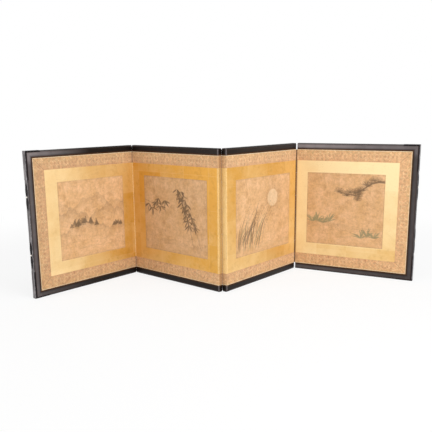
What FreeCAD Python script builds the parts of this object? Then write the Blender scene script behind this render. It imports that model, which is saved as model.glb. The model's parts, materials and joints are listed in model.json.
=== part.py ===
"""Four-panel folding screen, in millimetres.

Each panel is a half-lapped cedar lattice in a jointed core frame, papered on both faces and
edged with lacquered rails. The two outer panels also have a lacquered stile. At each fold,
paper hinge leaves run in turn from the front of one panel to the back of the next and the
other way about, so the fold turns about its front edge or about its back edge.

A panel is built flat in its own frame: X along it, Y through it with the front at negative
Y, Z up. The panels then stand along the zigzag, and the origin is under the middle of it.
"""
import FreeCAD, Part
import math
import os
from dataclasses import dataclass
from FreeCAD import Placement, Rotation, Vector

# Whole screen
screen_height = 455.0
papered_width = 397.0
frame_thickness = 18.0
frame_proud = 0.6
rail_face = 22.0
stile_face = 22.0

# The zigzag that the screen stands in, in degrees
panel_2_heading = -41.7
fold_12_angle = 88.5
fold_23_angle = 87.8
fold_34_angle = 101.6

# Frame moulding, seen in section
moulding_round = 1.5
moulding_bevel_width = 3.0
moulding_bevel_drop = 1.6
moulding_inner_chamfer = 0.6

# Layers of paper and cloth
under_paper_thickness = 0.8
back_paper_thickness = 1.2
gold_thickness = 0.4
picture_thickness = 0.5
brocade_thickness = 0.5
hinge_paper_thickness = 0.3

# Borders on the front
brocade_width = 38.0
gold_height = 41.0
gold_at_outer_side = 44.0
gold_at_fold = 46.5

# Core frame and lattice
core_member_width = 24.0
slat_width = 10.0
upright_slat_count = 5
level_slat_count = 5
slat_tenon_length = 6.0
slat_tenon_thickness = 5.0

# Paper hinges
hinge_leaf_count = 5
hinge_leaf_spacing = 0.5
hinge_wing_inset = 4.0
tight_fold_gap = 1.1
loose_fold_gap = 3.0
tight_rail_clearance = 0.1
loose_rail_clearance = 2.7
pivot_clearance = 0.15
leaf_edge_clearance = 0.15
lip_clearance = 0.1

# Square nails that hold the frame to the core
nail_width = 2.0
nail_length = 34.0
nail_cover = 2.5

# Metal corners and side plates
fitting_thickness = 0.8
corner_rail_arm = 51.0
corner_stile_arm = 86.0
side_plate_gap = 9.5
side_plate_length = 84.0
side_plate_width = 10.5
side_plate_waist = 3.5
side_plate_thickness = 1.2
stud_diameter = 6.0
stud_height = 2.2

# Places given as shares of the size that they follow
nail_shares = (0.12, 0.5, 0.88)
fold_margin_shares = {
    "panel_1": {"right": 1.02},
    "panel_2": {"left": 1.23, "right": 1.0},
    "panel_3": {"left": 1.03, "right": 0.87},
    "panel_4": {"left": 0.90},
}

# Sizes that follow from those above
half_frame = frame_thickness / 2
half_papered = half_frame - frame_proud
core_front = -half_papered + gold_thickness + under_paper_thickness
core_back = half_papered - back_paper_thickness
papered_bottom = rail_face
papered_top = screen_height - rail_face
papered_height = papered_top - papered_bottom
hinge_wing_width = core_member_width - hinge_wing_inset
pivot_depth = half_frame + pivot_clearance
cutter_overrun = frame_thickness


@dataclass(frozen=True)
class Fold:
    """The paper hinge between two neighbouring panels; a valley turns about its front."""

    name: str
    left: str
    right: str
    parent: str
    valley: bool
    gap: float
    rail_clearance: float

    def child(self):
        """The panel that turns on the parent."""
        return self.left if self.parent == self.right else self.right

    def end_of(self, panel):
        """The end of a panel that this fold is at."""
        return RIGHT if panel == self.left else LEFT


LEFT, RIGHT = "left", "right"
OUTWARD = {LEFT: -1, RIGHT: 1}
PANELS = ("panel_1", "panel_2", "panel_3", "panel_4")
FOLDS = (
    Fold("fold_12", "panel_1", "panel_2", parent="panel_2", valley=True,
         gap=tight_fold_gap, rail_clearance=tight_rail_clearance),
    Fold("fold_23", "panel_2", "panel_3", parent="panel_2", valley=False,
         gap=tight_fold_gap, rail_clearance=tight_rail_clearance),
    Fold("fold_34", "panel_3", "panel_4", parent="panel_3", valley=True,
         gap=loose_fold_gap, rail_clearance=loose_rail_clearance),
)


def fold_at(panel, end):
    """The fold at one end of a panel, or None where a stile closes that end."""
    found = [fold for fold in FOLDS
             if panel in (fold.left, fold.right) and fold.end_of(panel) == end]
    return found[0] if found else None


def end_x(end):
    """X of the papered face at the left or right end of a panel."""
    return papered_width if end == RIGHT else 0.0


def pivot_x(fold, end):
    """X of a panel's pivot lines, in the middle of the fold's gap."""
    return end_x(end) + OUTWARD[end] * fold.gap / 2


def block(x_range, y_range, z_range):
    """A box between two limits on each axis."""
    low = Vector(min(x_range), min(y_range), min(z_range))
    high = Vector(max(x_range), max(y_range), max(z_range))
    size = high - low
    return Part.makeBox(size.x, size.y, size.z, low)


def sheet(outline, y_range):
    """A flat sheet with an outline of (x, z) points, between two depths."""
    points = [Vector(x, min(y_range), z) for x, z in outline]
    face = Part.Face(Part.makePolygon(points + points[:1]))
    return face.extrude(Vector(0, max(y_range) - min(y_range), 0))


# Core frame and lattice


def spaced(start, end, count):
    """Evenly spaced places between two limits, with the limits left out."""
    step = (end - start) / (count + 1)
    return [start + step * (index + 1) for index in range(count)]


def core_x_range(panel):
    """X range of the wooden core, which an edge paper covers at a fold."""
    left = hinge_paper_thickness if fold_at(panel, LEFT) else 0.0
    right = hinge_paper_thickness if fold_at(panel, RIGHT) else 0.0
    return left, papered_width - right


def slat_places(panel):
    """X of the upright slats and Z of the level ones."""
    x0, x1 = core_x_range(panel)
    uprights = spaced(x0 + core_member_width, x1 - core_member_width, upright_slat_count)
    levels = spaced(papered_bottom + core_member_width, papered_top - core_member_width,
                    level_slat_count)
    return uprights, levels


def around(centre, width):
    """A range of the given width about a centre."""
    return centre - width / 2, centre + width / 2


def upright_slat(x):
    """An upright slat with a stub tenon at each end, before it is lapped."""
    bottom = papered_bottom + core_member_width
    top = papered_top - core_member_width
    body = block(around(x, slat_width), (core_front, core_back), (bottom, top))
    middle = (core_front + core_back) / 2
    tenon = block(around(x, slat_width), around(middle, slat_tenon_thickness),
                  (bottom - slat_tenon_length, top + slat_tenon_length))
    return body.fuse(tenon).removeSplitter()


def level_slat(panel, z):
    """A level slat with a stub tenon at each end, before it is lapped."""
    x0, x1 = core_x_range(panel)
    inner = (x0 + core_member_width, x1 - core_member_width)
    outer = (inner[0] - slat_tenon_length, inner[1] + slat_tenon_length)
    middle = (core_front + core_back) / 2
    body = block(inner, (core_front, core_back), around(z, slat_width))
    tenon = block(outer, around(middle, slat_tenon_thickness), around(z, slat_width))
    return body.fuse(tenon).removeSplitter()


def lattice(panel):
    """Slats half-lapped at every crossing: uprights keep the front half."""
    uprights, levels = slat_places(panel)
    middle = (core_front + core_back) / 2
    slats = []
    for x in uprights:
        laps = [block(around(x, slat_width), (middle, core_back), around(z, slat_width))
                for z in levels]
        slats.append(upright_slat(x).cut(laps))
    for z in levels:
        laps = [block(around(x, slat_width), (core_front, middle), around(z, slat_width))
                for x in uprights]
        slats.append(level_slat(panel, z).cut(laps))
    return slats


def core_frame(panel):
    """Two uprights and two rails, half-lapped at the corners, mortised for the slats."""
    x0, x1 = core_x_range(panel)
    middle = (core_front + core_back) / 2
    full = (core_front, core_back)
    members = []
    for x_range in ((x0, x0 + core_member_width), (x1 - core_member_width, x1)):
        upright = block(x_range, full, (papered_bottom, papered_top))
        for z_range in ((papered_bottom, papered_bottom + core_member_width),
                        (papered_top - core_member_width, papered_top)):
            upright = upright.cut(block(x_range, (core_front, middle), z_range))
        members.append(upright)
    for z_range in ((papered_bottom, papered_bottom + core_member_width),
                    (papered_top - core_member_width, papered_top)):
        rail = block((x0, x1), full, z_range)
        for x_range in ((x0, x0 + core_member_width), (x1 - core_member_width, x1)):
            rail = rail.cut(block(x_range, (middle, core_back), z_range))
        members.append(rail)
    return [member.cut(lattice_tenons(panel) + nails(panel)) for member in members]


def lattice_tenons(panel):
    """The ends of the slats, which the frame's mortises fit."""
    uprights, levels = slat_places(panel)
    return [upright_slat(x) for x in uprights] + [level_slat(panel, z) for z in levels]


# Papers, borders and picture


def papered_sheet(y_range):
    """A sheet over the whole papered face."""
    return block((0.0, papered_width), y_range, (papered_bottom, papered_top))


def under_paper(panel):
    """The layered paper on the front of the core, notched for the hinge wings."""
    front = -half_papered + gold_thickness
    return papered_sheet((front, core_front)).cut(hinge_wings(panel))


def back_paper(panel):
    """The patterned paper on the back, notched inside for the hinge wings."""
    return papered_sheet((core_back, half_papered)).cut(hinge_wings(panel))


def skin_range(thickness):
    """Y range of a layer that lies on the under paper."""
    inner = -half_papered + gold_thickness
    return inner - thickness, inner


def picture_margin(panel, end):
    """How far the picture stands from one end of the papered face."""
    if fold_at(panel, end):
        return gold_at_fold * fold_margin_shares[panel][end]
    return brocade_width + gold_at_outer_side


def picture_ranges(panel):
    """X and Z range of a panel's picture."""
    margin = brocade_width + gold_height
    return ((picture_margin(panel, LEFT), papered_width - picture_margin(panel, RIGHT)),
            (papered_bottom + margin, papered_top - margin))


def gold_ranges(panel):
    """X and Z range of the gold paper, inside the brocade."""
    left = 0.0 if fold_at(panel, LEFT) else brocade_width
    right = 0.0 if fold_at(panel, RIGHT) else brocade_width
    return ((left, papered_width - right),
            (papered_bottom + brocade_width, papered_top - brocade_width))


def gold_border(panel):
    """Gold paper with the picture's opening."""
    depth = skin_range(gold_thickness)
    opening = block(picture_ranges(panel)[0], depth, picture_ranges(panel)[1])
    return block(gold_ranges(panel)[0], depth, gold_ranges(panel)[1]).cut(opening)


def picture(panel):
    """The picture sheet, which fills the opening in the gold paper."""
    x_range, z_range = picture_ranges(panel)
    return block(x_range, skin_range(picture_thickness), z_range)


def brocade(panel):
    """Strips of brocade, mitred where a side strip meets the top and bottom ones."""
    (inner_left, inner_right), (inner_bottom, inner_top) = gold_ranges(panel)
    depth = skin_range(brocade_thickness)
    strips = []
    for outer, inner in ((papered_bottom, inner_bottom), (papered_top, inner_top)):
        outline = [(0.0, outer), (papered_width, outer), (inner_right, inner),
                   (inner_left, inner)]
        strips.append(sheet(outline, depth))
    for end, inner_x in ((LEFT, inner_left), (RIGHT, inner_right)):
        if fold_at(panel, end) is None:
            outline = [(end_x(end), papered_bottom), (inner_x, inner_bottom),
                       (inner_x, inner_top), (end_x(end), papered_top)]
            strips.append(sheet(outline, depth))
    return strips


# Lacquered frame


def moulding_face(to_point):
    """The frame's section; to_point turns (distance out from the core, depth) into a point."""
    face = rail_face
    bevel_end = face - moulding_round
    bevel_start = bevel_end - moulding_bevel_width
    round_depth = half_frame - moulding_bevel_drop
    edge_depth = round_depth - moulding_round
    diagonal = moulding_round * math.sqrt(0.5)
    edges = []
    for side in (-1, 1):
        corners = [(0, side * (half_frame - moulding_inner_chamfer)),
                   (moulding_inner_chamfer, side * half_frame),
                   (bevel_start, side * half_frame),
                   (bevel_end, side * round_depth)]
        points = [to_point(*corner) for corner in corners]
        edges += [Part.LineSegment(a, b).toShape() for a, b in zip(points, points[1:])]
        edges.append(Part.Arc(points[-1],
                              to_point(bevel_end + diagonal, side * (edge_depth + diagonal)),
                              to_point(face, side * edge_depth)).toShape())
    for out, depth in ((0, half_frame - moulding_inner_chamfer), (face, edge_depth)):
        edges.append(Part.LineSegment(to_point(out, -depth), to_point(out, depth)).toShape())
    return Part.Face(Part.Wire(Part.__sortEdges__(edges)))


def edge_z(side):
    """Z of the core's bottom (side -1) or top (side 1) edge, where a rail sits."""
    return papered_bottom if side < 0 else papered_top


def rail_bar(side, x_range):
    """An uncut rail under (side -1) or over (side 1) the papered face."""
    x0, x1 = x_range
    face = moulding_face(lambda out, depth: Vector(x0, depth, edge_z(side) + side * out))
    return face.extrude(Vector(x1 - x0, 0, 0))


def stile_bar(end):
    """An uncut stile beyond the left or right end of the papered face."""
    scale = stile_face / rail_face
    face = moulding_face(
        lambda out, depth: Vector(end_x(end) + OUTWARD[end] * out * scale, depth, 0))
    return face.extrude(Vector(0, 0, screen_height))


def mitre_wedge(end, side):
    """The half of a frame corner that belongs to the stile."""
    x, z = end_x(end), edge_z(side)
    outer_x, outer_z = x + OUTWARD[end] * stile_face, z + side * rail_face
    outline = [(x, z), (2 * outer_x - x, 2 * outer_z - z), (2 * outer_x - x, z)]
    return sheet(outline, (-cutter_overrun, cutter_overrun))


def rail(panel, side):
    """A rail, mitred at a stile and a little short of the pivot lines at a fold."""
    limits = []
    for end in (LEFT, RIGHT):
        fold = fold_at(panel, end)
        limits.append(end_x(end) + OUTWARD[end] * stile_face if fold is None
                      else pivot_x(fold, end) - OUTWARD[end] * fold.rail_clearance)
    bar = rail_bar(side, limits)
    for end in (LEFT, RIGHT):
        if fold_at(panel, end) is None:
            bar = bar.cut(mitre_wedge(end, side))
    return bar.cut(nails(panel))


def stile(panel, end):
    """A stile, mitred at both ends, which closes the outer end of a panel."""
    bar = stile_bar(end)
    corners = []
    for side in (-1, 1):
        x, z = end_x(end), edge_z(side)
        room = block((x, x + OUTWARD[end] * 2 * stile_face), (-cutter_overrun, cutter_overrun),
                     (z, z + side * 2 * rail_face))
        corners.append(room.cut(mitre_wedge(end, side)))
    return bar.cut(corners + nails(panel))


# Nails


def nail_span(edge, outward):
    """The range of a nail across the joint between core and frame."""
    head = edge + outward * (rail_face - nail_cover)
    return head - outward * nail_length, head


def nails(panel):
    """Square nails that run from inside the frame into the core."""
    depth = around((core_front + core_back) / 2, nail_width)
    result = []
    for share in nail_shares:
        across = around(papered_width * share, nail_width)
        for side in (-1, 1):
            result.append(block(across, depth, nail_span(edge_z(side), side)))
    for end in (LEFT, RIGHT):
        if fold_at(panel, end) is None:
            for share in nail_shares:
                height = around(papered_bottom + papered_height * share, nail_width)
                result.append(block(nail_span(end_x(end), OUTWARD[end]), depth, height))
    return result


# Paper hinges


def leaf_heights(first):
    """Z ranges of every other hinge leaf, from the bottom, starting with the first given."""
    pitch = papered_height / hinge_leaf_count
    return [(papered_bottom + pitch * index + hinge_leaf_spacing / 2,
             papered_bottom + pitch * (index + 1) - hinge_leaf_spacing / 2)
            for index in range(first, hinge_leaf_count, 2)]


def hinge_leaves(fold, first, end):
    """The free leaves of one set, in the frame of a panel that they lie beside."""
    x_range = around(pivot_x(fold, end), hinge_paper_thickness)
    reach = pivot_depth - leaf_edge_clearance
    return [block(x_range, (-reach, reach), z_range) for z_range in leaf_heights(first)]


def hinge_wing(fold, end, depth_side, z_range):
    """A glued wing under the paper, with a lip along the panel's end up to the pivot line."""
    x = end_x(end)
    surface = core_front if depth_side < 0 else core_back
    outer = pivot_x(fold, end) - OUTWARD[end] * (hinge_paper_thickness / 2 + lip_clearance)
    wing = block((x - OUTWARD[end] * hinge_wing_width, outer),
                 (surface, surface + depth_side * hinge_paper_thickness), z_range)
    lip = block((outer - OUTWARD[end] * hinge_paper_thickness, outer),
                (surface, depth_side * (pivot_depth - lip_clearance)), z_range)
    return wing.fuse(lip).removeSplitter()


def hinge_wings(panel):
    """Glued wings: in a valley, set 0 is on the parent's front and the child's back."""
    wings = []
    for end in (LEFT, RIGHT):
        fold = fold_at(panel, end)
        if fold is None:
            continue
        front_set = 0 if (panel == fold.parent) == fold.valley else 1
        wings += [hinge_wing(fold, end, -1, z_range) for z_range in leaf_heights(front_set)]
        wings += [hinge_wing(fold, end, 1, z_range) for z_range in leaf_heights(1 - front_set)]
    return wings


def edge_papers(panel):
    """Paper that lines the panel's narrow side at a fold."""
    papers = []
    for end in (LEFT, RIGHT):
        if fold_at(panel, end):
            x_range = (end_x(end), end_x(end) - OUTWARD[end] * hinge_paper_thickness)
            papers.append(block(x_range, (core_front, core_back),
                                (papered_bottom, papered_top)))
    return papers


def panel_beside(fold, first):
    """The panel that a leaf set lies against while the screen stands."""
    return fold.child() if first == 0 else fold.parent


# Metal fittings


def cap_face(to_point):
    """Section of a corner fitting before the frame is cut out of it."""
    start = rail_face - moulding_round - moulding_bevel_width
    outer = rail_face + fitting_thickness
    shoulder = half_frame - moulding_bevel_drop / 2
    edge = shoulder - moulding_round - fitting_thickness / 2
    half = [(start, half_frame), (rail_face - moulding_round + fitting_thickness / 2, shoulder),
            (outer, edge)]
    outline = half + [(out, -depth) for out, depth in reversed(half)]
    points = [to_point(*corner) for corner in outline]
    return Part.Face(Part.makePolygon(points + points[:1]))


def corner_fitting(panel, end, side):
    """An angled metal cap over the outer edges of a frame corner, open underfoot."""
    x, z = end_x(end), edge_z(side)
    outer = rail_face + fitting_thickness
    inner_x = x + OUTWARD[end] * (stile_face - corner_rail_arm)
    inner_z = z + side * (rail_face - corner_stile_arm)
    rail_cap = cap_face(lambda out, depth: Vector(inner_x, depth, z + side * out))
    rail_cap = rail_cap.extrude(Vector(x + OUTWARD[end] * outer - inner_x, 0, 0))
    stile_cap = cap_face(lambda out, depth: Vector(x + OUTWARD[end] * out, depth, inner_z))
    stile_cap = stile_cap.extrude(Vector(0, 0, z + side * outer - inner_z))
    stile_side = mitre_wedge(end, side)
    below = stile_cap.common(stile_side)
    lower = stile_cap.cut(block((x - OUTWARD[end] * outer, x + OUTWARD[end] * 2 * outer),
                                (-cutter_overrun, cutter_overrun), (z, z + side * 2 * outer)))
    cap = rail_cap.cut(stile_side).fuse([below, lower])
    underfoot = block((x - OUTWARD[end] * corner_rail_arm, x + OUTWARD[end] * 2 * outer),
                      (-cutter_overrun, cutter_overrun), (-cutter_overrun, 0))
    inside = [rail(panel, side), stile(panel, end), underfoot] + nails(panel)
    return cap.cut(inside).removeSplitter()


def side_plate(end, centre_z):
    """A long plate of two leaf-shaped lobes on the outer side of a stile."""
    x = end_x(end) + OUTWARD[end] * stile_face
    half_length = side_plate_length / 2
    waist = side_plate_waist / 2
    lobe = side_plate_width / 2
    corners = [(half_length, 0), (0, waist), (-half_length, 0), (0, -waist)]
    bulges = [(half_length / 2, lobe), (-half_length / 2, lobe),
              (-half_length / 2, -lobe), (half_length / 2, -lobe)]
    points = [Vector(x, depth, centre_z + up) for up, depth in corners]
    middles = [Vector(x, depth, centre_z + up) for up, depth in bulges]
    edges = [Part.Arc(a, middle, b).toShape()
             for a, middle, b in zip(points, middles, points[1:] + points[:1])]
    return Part.Face(Part.Wire(edges)).extrude(Vector(OUTWARD[end] * side_plate_thickness, 0, 0))


def stud(end, centre_z):
    """A domed stud in the waist of a side plate."""
    base = Vector(end_x(end) + OUTWARD[end] * (stile_face + side_plate_thickness), 0, centre_z)
    radius = stud_diameter / 2
    dome_radius = (radius ** 2 + stud_height ** 2) / (2 * stud_height)
    centre = base - Vector(OUTWARD[end] * (dome_radius - stud_height), 0, 0)
    ball = Part.makeSphere(dome_radius, centre)
    return ball.common(block((base.x, base.x + OUTWARD[end] * stud_diameter),
                             around(0, 2 * stud_diameter), around(centre_z, 2 * stud_diameter)))


# Zigzag


def headings():
    """Direction of each panel in plan, in degrees from the X axis."""
    half_turn = 180.0
    third = panel_2_heading + (half_turn - fold_23_angle)
    return {
        "panel_1": panel_2_heading + (half_turn - fold_12_angle),
        "panel_2": panel_2_heading,
        "panel_3": third,
        "panel_4": third - (half_turn - fold_34_angle),
    }


def pivot_point(fold, end, front):
    """A fold's front or back pivot, in the frame of the panel on one side of it."""
    return Vector(pivot_x(fold, end), -pivot_depth if front else pivot_depth, 0)


def placement_at(heading, local, world):
    """The placement that turns a panel to its heading and puts a local point in place."""
    rotation = Rotation(Vector(0, 0, 1), heading)
    return Placement(world - rotation.multVec(local), rotation)


def panel_placements():
    """Where each panel stands, with the first fold's front pivot at the origin."""
    directions = headings()
    first = FOLDS[0]
    start = pivot_point(first, RIGHT, first.valley)
    places = {first.left: placement_at(directions[first.left], start, Vector())}
    for fold in FOLDS:
        world = places[fold.left].multVec(pivot_point(fold, RIGHT, fold.valley))
        local = pivot_point(fold, LEFT, fold.valley)
        places[fold.right] = placement_at(directions[fold.right], local, world)
    return places


# Assembly


def panel_nodes(panel):
    """The pieces that every panel has, by name."""
    return {
        "core_frame": core_frame(panel),
        "core_lattice": lattice(panel),
        "under_paper": [under_paper(panel)],
        "back_paper": [back_paper(panel)],
        "hinge_paper": hinge_wings(panel) + edge_papers(panel),
        "gold_border": [gold_border(panel)],
        "picture": [picture(panel)],
        "brocade": brocade(panel),
        "top_rail": [rail(panel, 1)],
        "bottom_rail": [rail(panel, -1)],
        "nails": nails(panel),
    }


def side_plate_heights():
    """Heights of the two side plates, each a little clear of a corner fitting."""
    from_end = corner_stile_arm + side_plate_gap + side_plate_length / 2
    return from_end, screen_height - from_end


def outer_end_nodes(panel, end):
    """The stile at one end of the screen and the metal on it."""
    return {
        f"{end}_stile": [stile(panel, end)],
        f"{end}_top_corner": [corner_fitting(panel, end, 1)],
        f"{end}_bottom_corner": [corner_fitting(panel, end, -1)],
        f"{end}_side_plates": [side_plate(end, height) for height in side_plate_heights()],
        f"{end}_side_studs": [stud(end, height) for height in side_plate_heights()],
    }


def placed(solids, placement):
    """Solids moved together into one compound."""
    moved = []
    for solid in solids:
        copy = solid.copy()
        copy.Placement = placement.multiply(copy.Placement)
        moved.append(copy)
    return Part.makeCompound([piece for shape in moved for piece in shape.Solids])


def build_nodes():
    """Every node in the zigzag, before the origin is centred under it."""
    places = panel_placements()
    nodes = {}
    for panel in PANELS:
        for name, solids in panel_nodes(panel).items():
            nodes[f"{panel}_{name}"] = placed(solids, places[panel])
        for end in (LEFT, RIGHT):
            if fold_at(panel, end) is None:
                for name, solids in outer_end_nodes(panel, end).items():
                    nodes[name] = placed(solids, places[panel])
    for fold in FOLDS:
        for first, set_name in enumerate(("a", "b")):
            panel = panel_beside(fold, first)
            leaves = hinge_leaves(fold, first, fold.end_of(panel))
            nodes[f"{fold.name}_leaves_{set_name}"] = placed(leaves, places[panel])
    return nodes


def base_centre(nodes):
    """The middle of the whole screen's footprint."""
    box = Part.makeCompound(list(nodes.values())).optimalBoundingBox(False, False)
    return Vector((box.XMin + box.XMax) / 2, (box.YMin + box.YMax) / 2, 0)


def report_places(centre):
    """Print the middle of each panel's foot and each panel's pivot lines."""
    places = panel_placements()
    for panel in PANELS:
        point = places[panel].multVec(Vector(papered_width / 2, 0, 0)) - centre
        print(f"{panel} foot: {point.x:.4f} {point.y:.4f}")
    for fold in FOLDS:
        for panel in (fold.left, fold.right):
            for side, front in (("front", True), ("back", False)):
                local = pivot_point(fold, fold.end_of(panel), front)
                point = places[panel].multVec(local) - centre
                print(f"{fold.name} {side} pivot of {panel}: {point.x:.4f} {point.y:.4f}")


def main():
    """Build the screen and write one STEP file for each node."""
    os.makedirs("parts", exist_ok=True)
    nodes = build_nodes()
    centre = base_centre(nodes)
    shift = Placement(-centre, Rotation())
    for name, shape in nodes.items():
        moved = placed([shape], shift)
        moved.exportStep(f"parts/{name}.step")
        box = moved.BoundBox
        print(f"{name}: {len(moved.Solids)} solids, {box.XLength:.1f} x {box.YLength:.1f} x "
              f"{box.ZLength:.1f}, volume {moved.Volume:.0f}, valid {moved.isValid()}")
    report_places(centre)


main()
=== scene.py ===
"""The finishes of a low four-panel folding screen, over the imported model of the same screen.

Every length is in metres, in the frame of the model: +X along the screen, +Y to its back, +Z up.
A panel's own frame has X along the panel from the middle of its foot, Y through it to its back
and Z up. Patterns and new pieces are worked out there and then turned into the model's frame.
"""

import json
import logging
import math
from abc import ABC, abstractmethod
from dataclasses import dataclass, field
from enum import Enum
from functools import reduce
from typing import ClassVar, Mapping

import bpy
import numpy as np
from mathutils import Matrix, Vector
from numpy.typing import ArrayLike


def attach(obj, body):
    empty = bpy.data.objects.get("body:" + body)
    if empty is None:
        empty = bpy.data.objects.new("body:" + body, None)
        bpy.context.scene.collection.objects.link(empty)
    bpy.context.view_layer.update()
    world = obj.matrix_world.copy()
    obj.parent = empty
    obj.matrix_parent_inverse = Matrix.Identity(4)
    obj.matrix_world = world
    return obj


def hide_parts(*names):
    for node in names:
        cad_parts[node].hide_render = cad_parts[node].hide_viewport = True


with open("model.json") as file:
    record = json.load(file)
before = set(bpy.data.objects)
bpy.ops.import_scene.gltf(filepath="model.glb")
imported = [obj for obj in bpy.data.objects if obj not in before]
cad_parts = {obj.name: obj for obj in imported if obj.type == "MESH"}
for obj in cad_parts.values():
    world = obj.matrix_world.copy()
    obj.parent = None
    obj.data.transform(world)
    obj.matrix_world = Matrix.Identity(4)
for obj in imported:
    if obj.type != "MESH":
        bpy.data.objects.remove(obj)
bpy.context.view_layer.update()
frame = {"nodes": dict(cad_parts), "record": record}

LOG = logging.getLogger("folding_screen")

Colour = tuple[float, float, float, float]
Pair = tuple[float, float]
Triple = tuple[float, float, float]

WHITE: Colour = (1.0, 1.0, 1.0, 1.0)


class End(Enum):
    """The left or right end of a panel, seen from the front."""

    LEFT = -1
    RIGHT = 1


class Pivot(Enum):
    """The two lines that a fold can turn about, before and behind its panels."""

    FRONT = 0
    BACK = 1


class Pigment(Enum):
    """The colours that a picture leaf is painted with, and where each is kept in the mesh."""

    INK = 0
    GREEN = 1
    WHITE = 2


class Subject(Enum):
    """What a picture leaf shows, with the number of its panel."""

    HILLS = 1
    BAMBOO = 2
    MOONLIT_GRASS = 3
    PINE_AND_STREAM = 4


def tint(code: str) -> Colour:
    """Turn a colour as it is seen into the linear one that shaders take.

    Args:
        code: six hexadecimal digits for red, green and blue.

    Returns:
        The linear colour: ((c + 0.055) / 1.055) to the power 2.4, or c / 12.92 near black.
    """
    parts = [int(code[place:place + 2], 16) / 255 for place in (0, 2, 4)]
    linear = [part / 12.92 if part <= 0.04045 else ((part + 0.055) / 1.055) ** 2.4
              for part in parts]
    return (linear[0], linear[1], linear[2], 1.0)


def placed(name: str, data: bpy.types.ID) -> bpy.types.Object:
    """Add an object to the scene, at the origin.

    Args:
        name: its name.
        data: its mesh, lamp or camera.

    Returns:
        The object.
    """
    thing = bpy.data.objects.new(name, data)
    bpy.context.scene.collection.objects.link(thing)
    return thing


# Shader maths


class Value:
    """The output of a shader node, with Python's operators as Math nodes."""

    def __init__(self, shader: "Shader", socket: bpy.types.NodeSocket | None) -> None:
        """Keep the shader and the socket that the value comes from."""
        self.shader = shader
        self.socket = socket

    def _math(self, operation: str, *values: "Value | float") -> "Value":
        """Add a Math node for an operation on one or more values."""
        sockets = dict(enumerate(values))
        return self.shader.node("ShaderNodeMath", {"operation": operation}, sockets)

    def __add__(self, other: "Value | float") -> "Value":
        """The sum."""
        return self._math("ADD", self, other)

    __radd__ = __add__

    def __sub__(self, other: "Value | float") -> "Value":
        """The difference."""
        return self._math("SUBTRACT", self, other)

    def __rsub__(self, other: float) -> "Value":
        """The difference the other way about."""
        return self._math("SUBTRACT", other, self)

    def __mul__(self, other: "Value | float") -> "Value":
        """The product."""
        return self._math("MULTIPLY", self, other)

    __rmul__ = __mul__

    def __truediv__(self, other: "Value | float") -> "Value":
        """The quotient."""
        return self._math("DIVIDE", self, other)

    def __pow__(self, other: "Value | float") -> "Value":
        """The power."""
        return self._math("POWER", self, other)

    def __abs__(self) -> "Value":
        """The value without its sign."""
        return self._math("ABSOLUTE", self)

    def floor(self) -> "Value":
        """The whole number at or below the value."""
        return self._math("FLOOR", self)

    def wrapped(self, pitch: float) -> "Value":
        """The distance from the nearest middle of a cell, from -pitch / 2 to pitch / 2."""
        return self._math("WRAP", self, pitch / 2, -pitch / 2)

    def cosine(self) -> "Value":
        """The cosine of an angle in radians."""
        return self._math("COSINE", self)

    def least(self, other: "Value | float") -> "Value":
        """The smaller of two values."""
        return self._math("MINIMUM", self, other)

    def most(self, other: "Value | float") -> "Value":
        """The larger of two values."""
        return self._math("MAXIMUM", self, other)

    def distance(self, other: "Value") -> "Value":
        """The distance of the point (self, other) from zero."""
        return (self * self + other * other) ** 0.5

    def angle(self, other: "Value") -> "Value":
        """The angle of the point (other, self)."""
        return self._math("ARCTAN2", self, other)

    def ramp(self, start: float, stop: float) -> "Value":
        """Go smoothly from 0 to 1: t * t * (3 - 2 * t), with t the share of the way.

        Args:
            start: where it is 0.
            stop: where it is 1, above start or below it.

        Returns:
            The share, which stays 0 before start and 1 beyond stop.
        """
        first, last = (0.0, 1.0) if start < stop else (1.0, 0.0)
        return self.shader.node("ShaderNodeMapRange", {"interpolation_type": "SMOOTHSTEP"},
                                {"Value": self, "From Min": min(start, stop),
                                 "From Max": max(start, stop), "To Min": first, "To Max": last})


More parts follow.
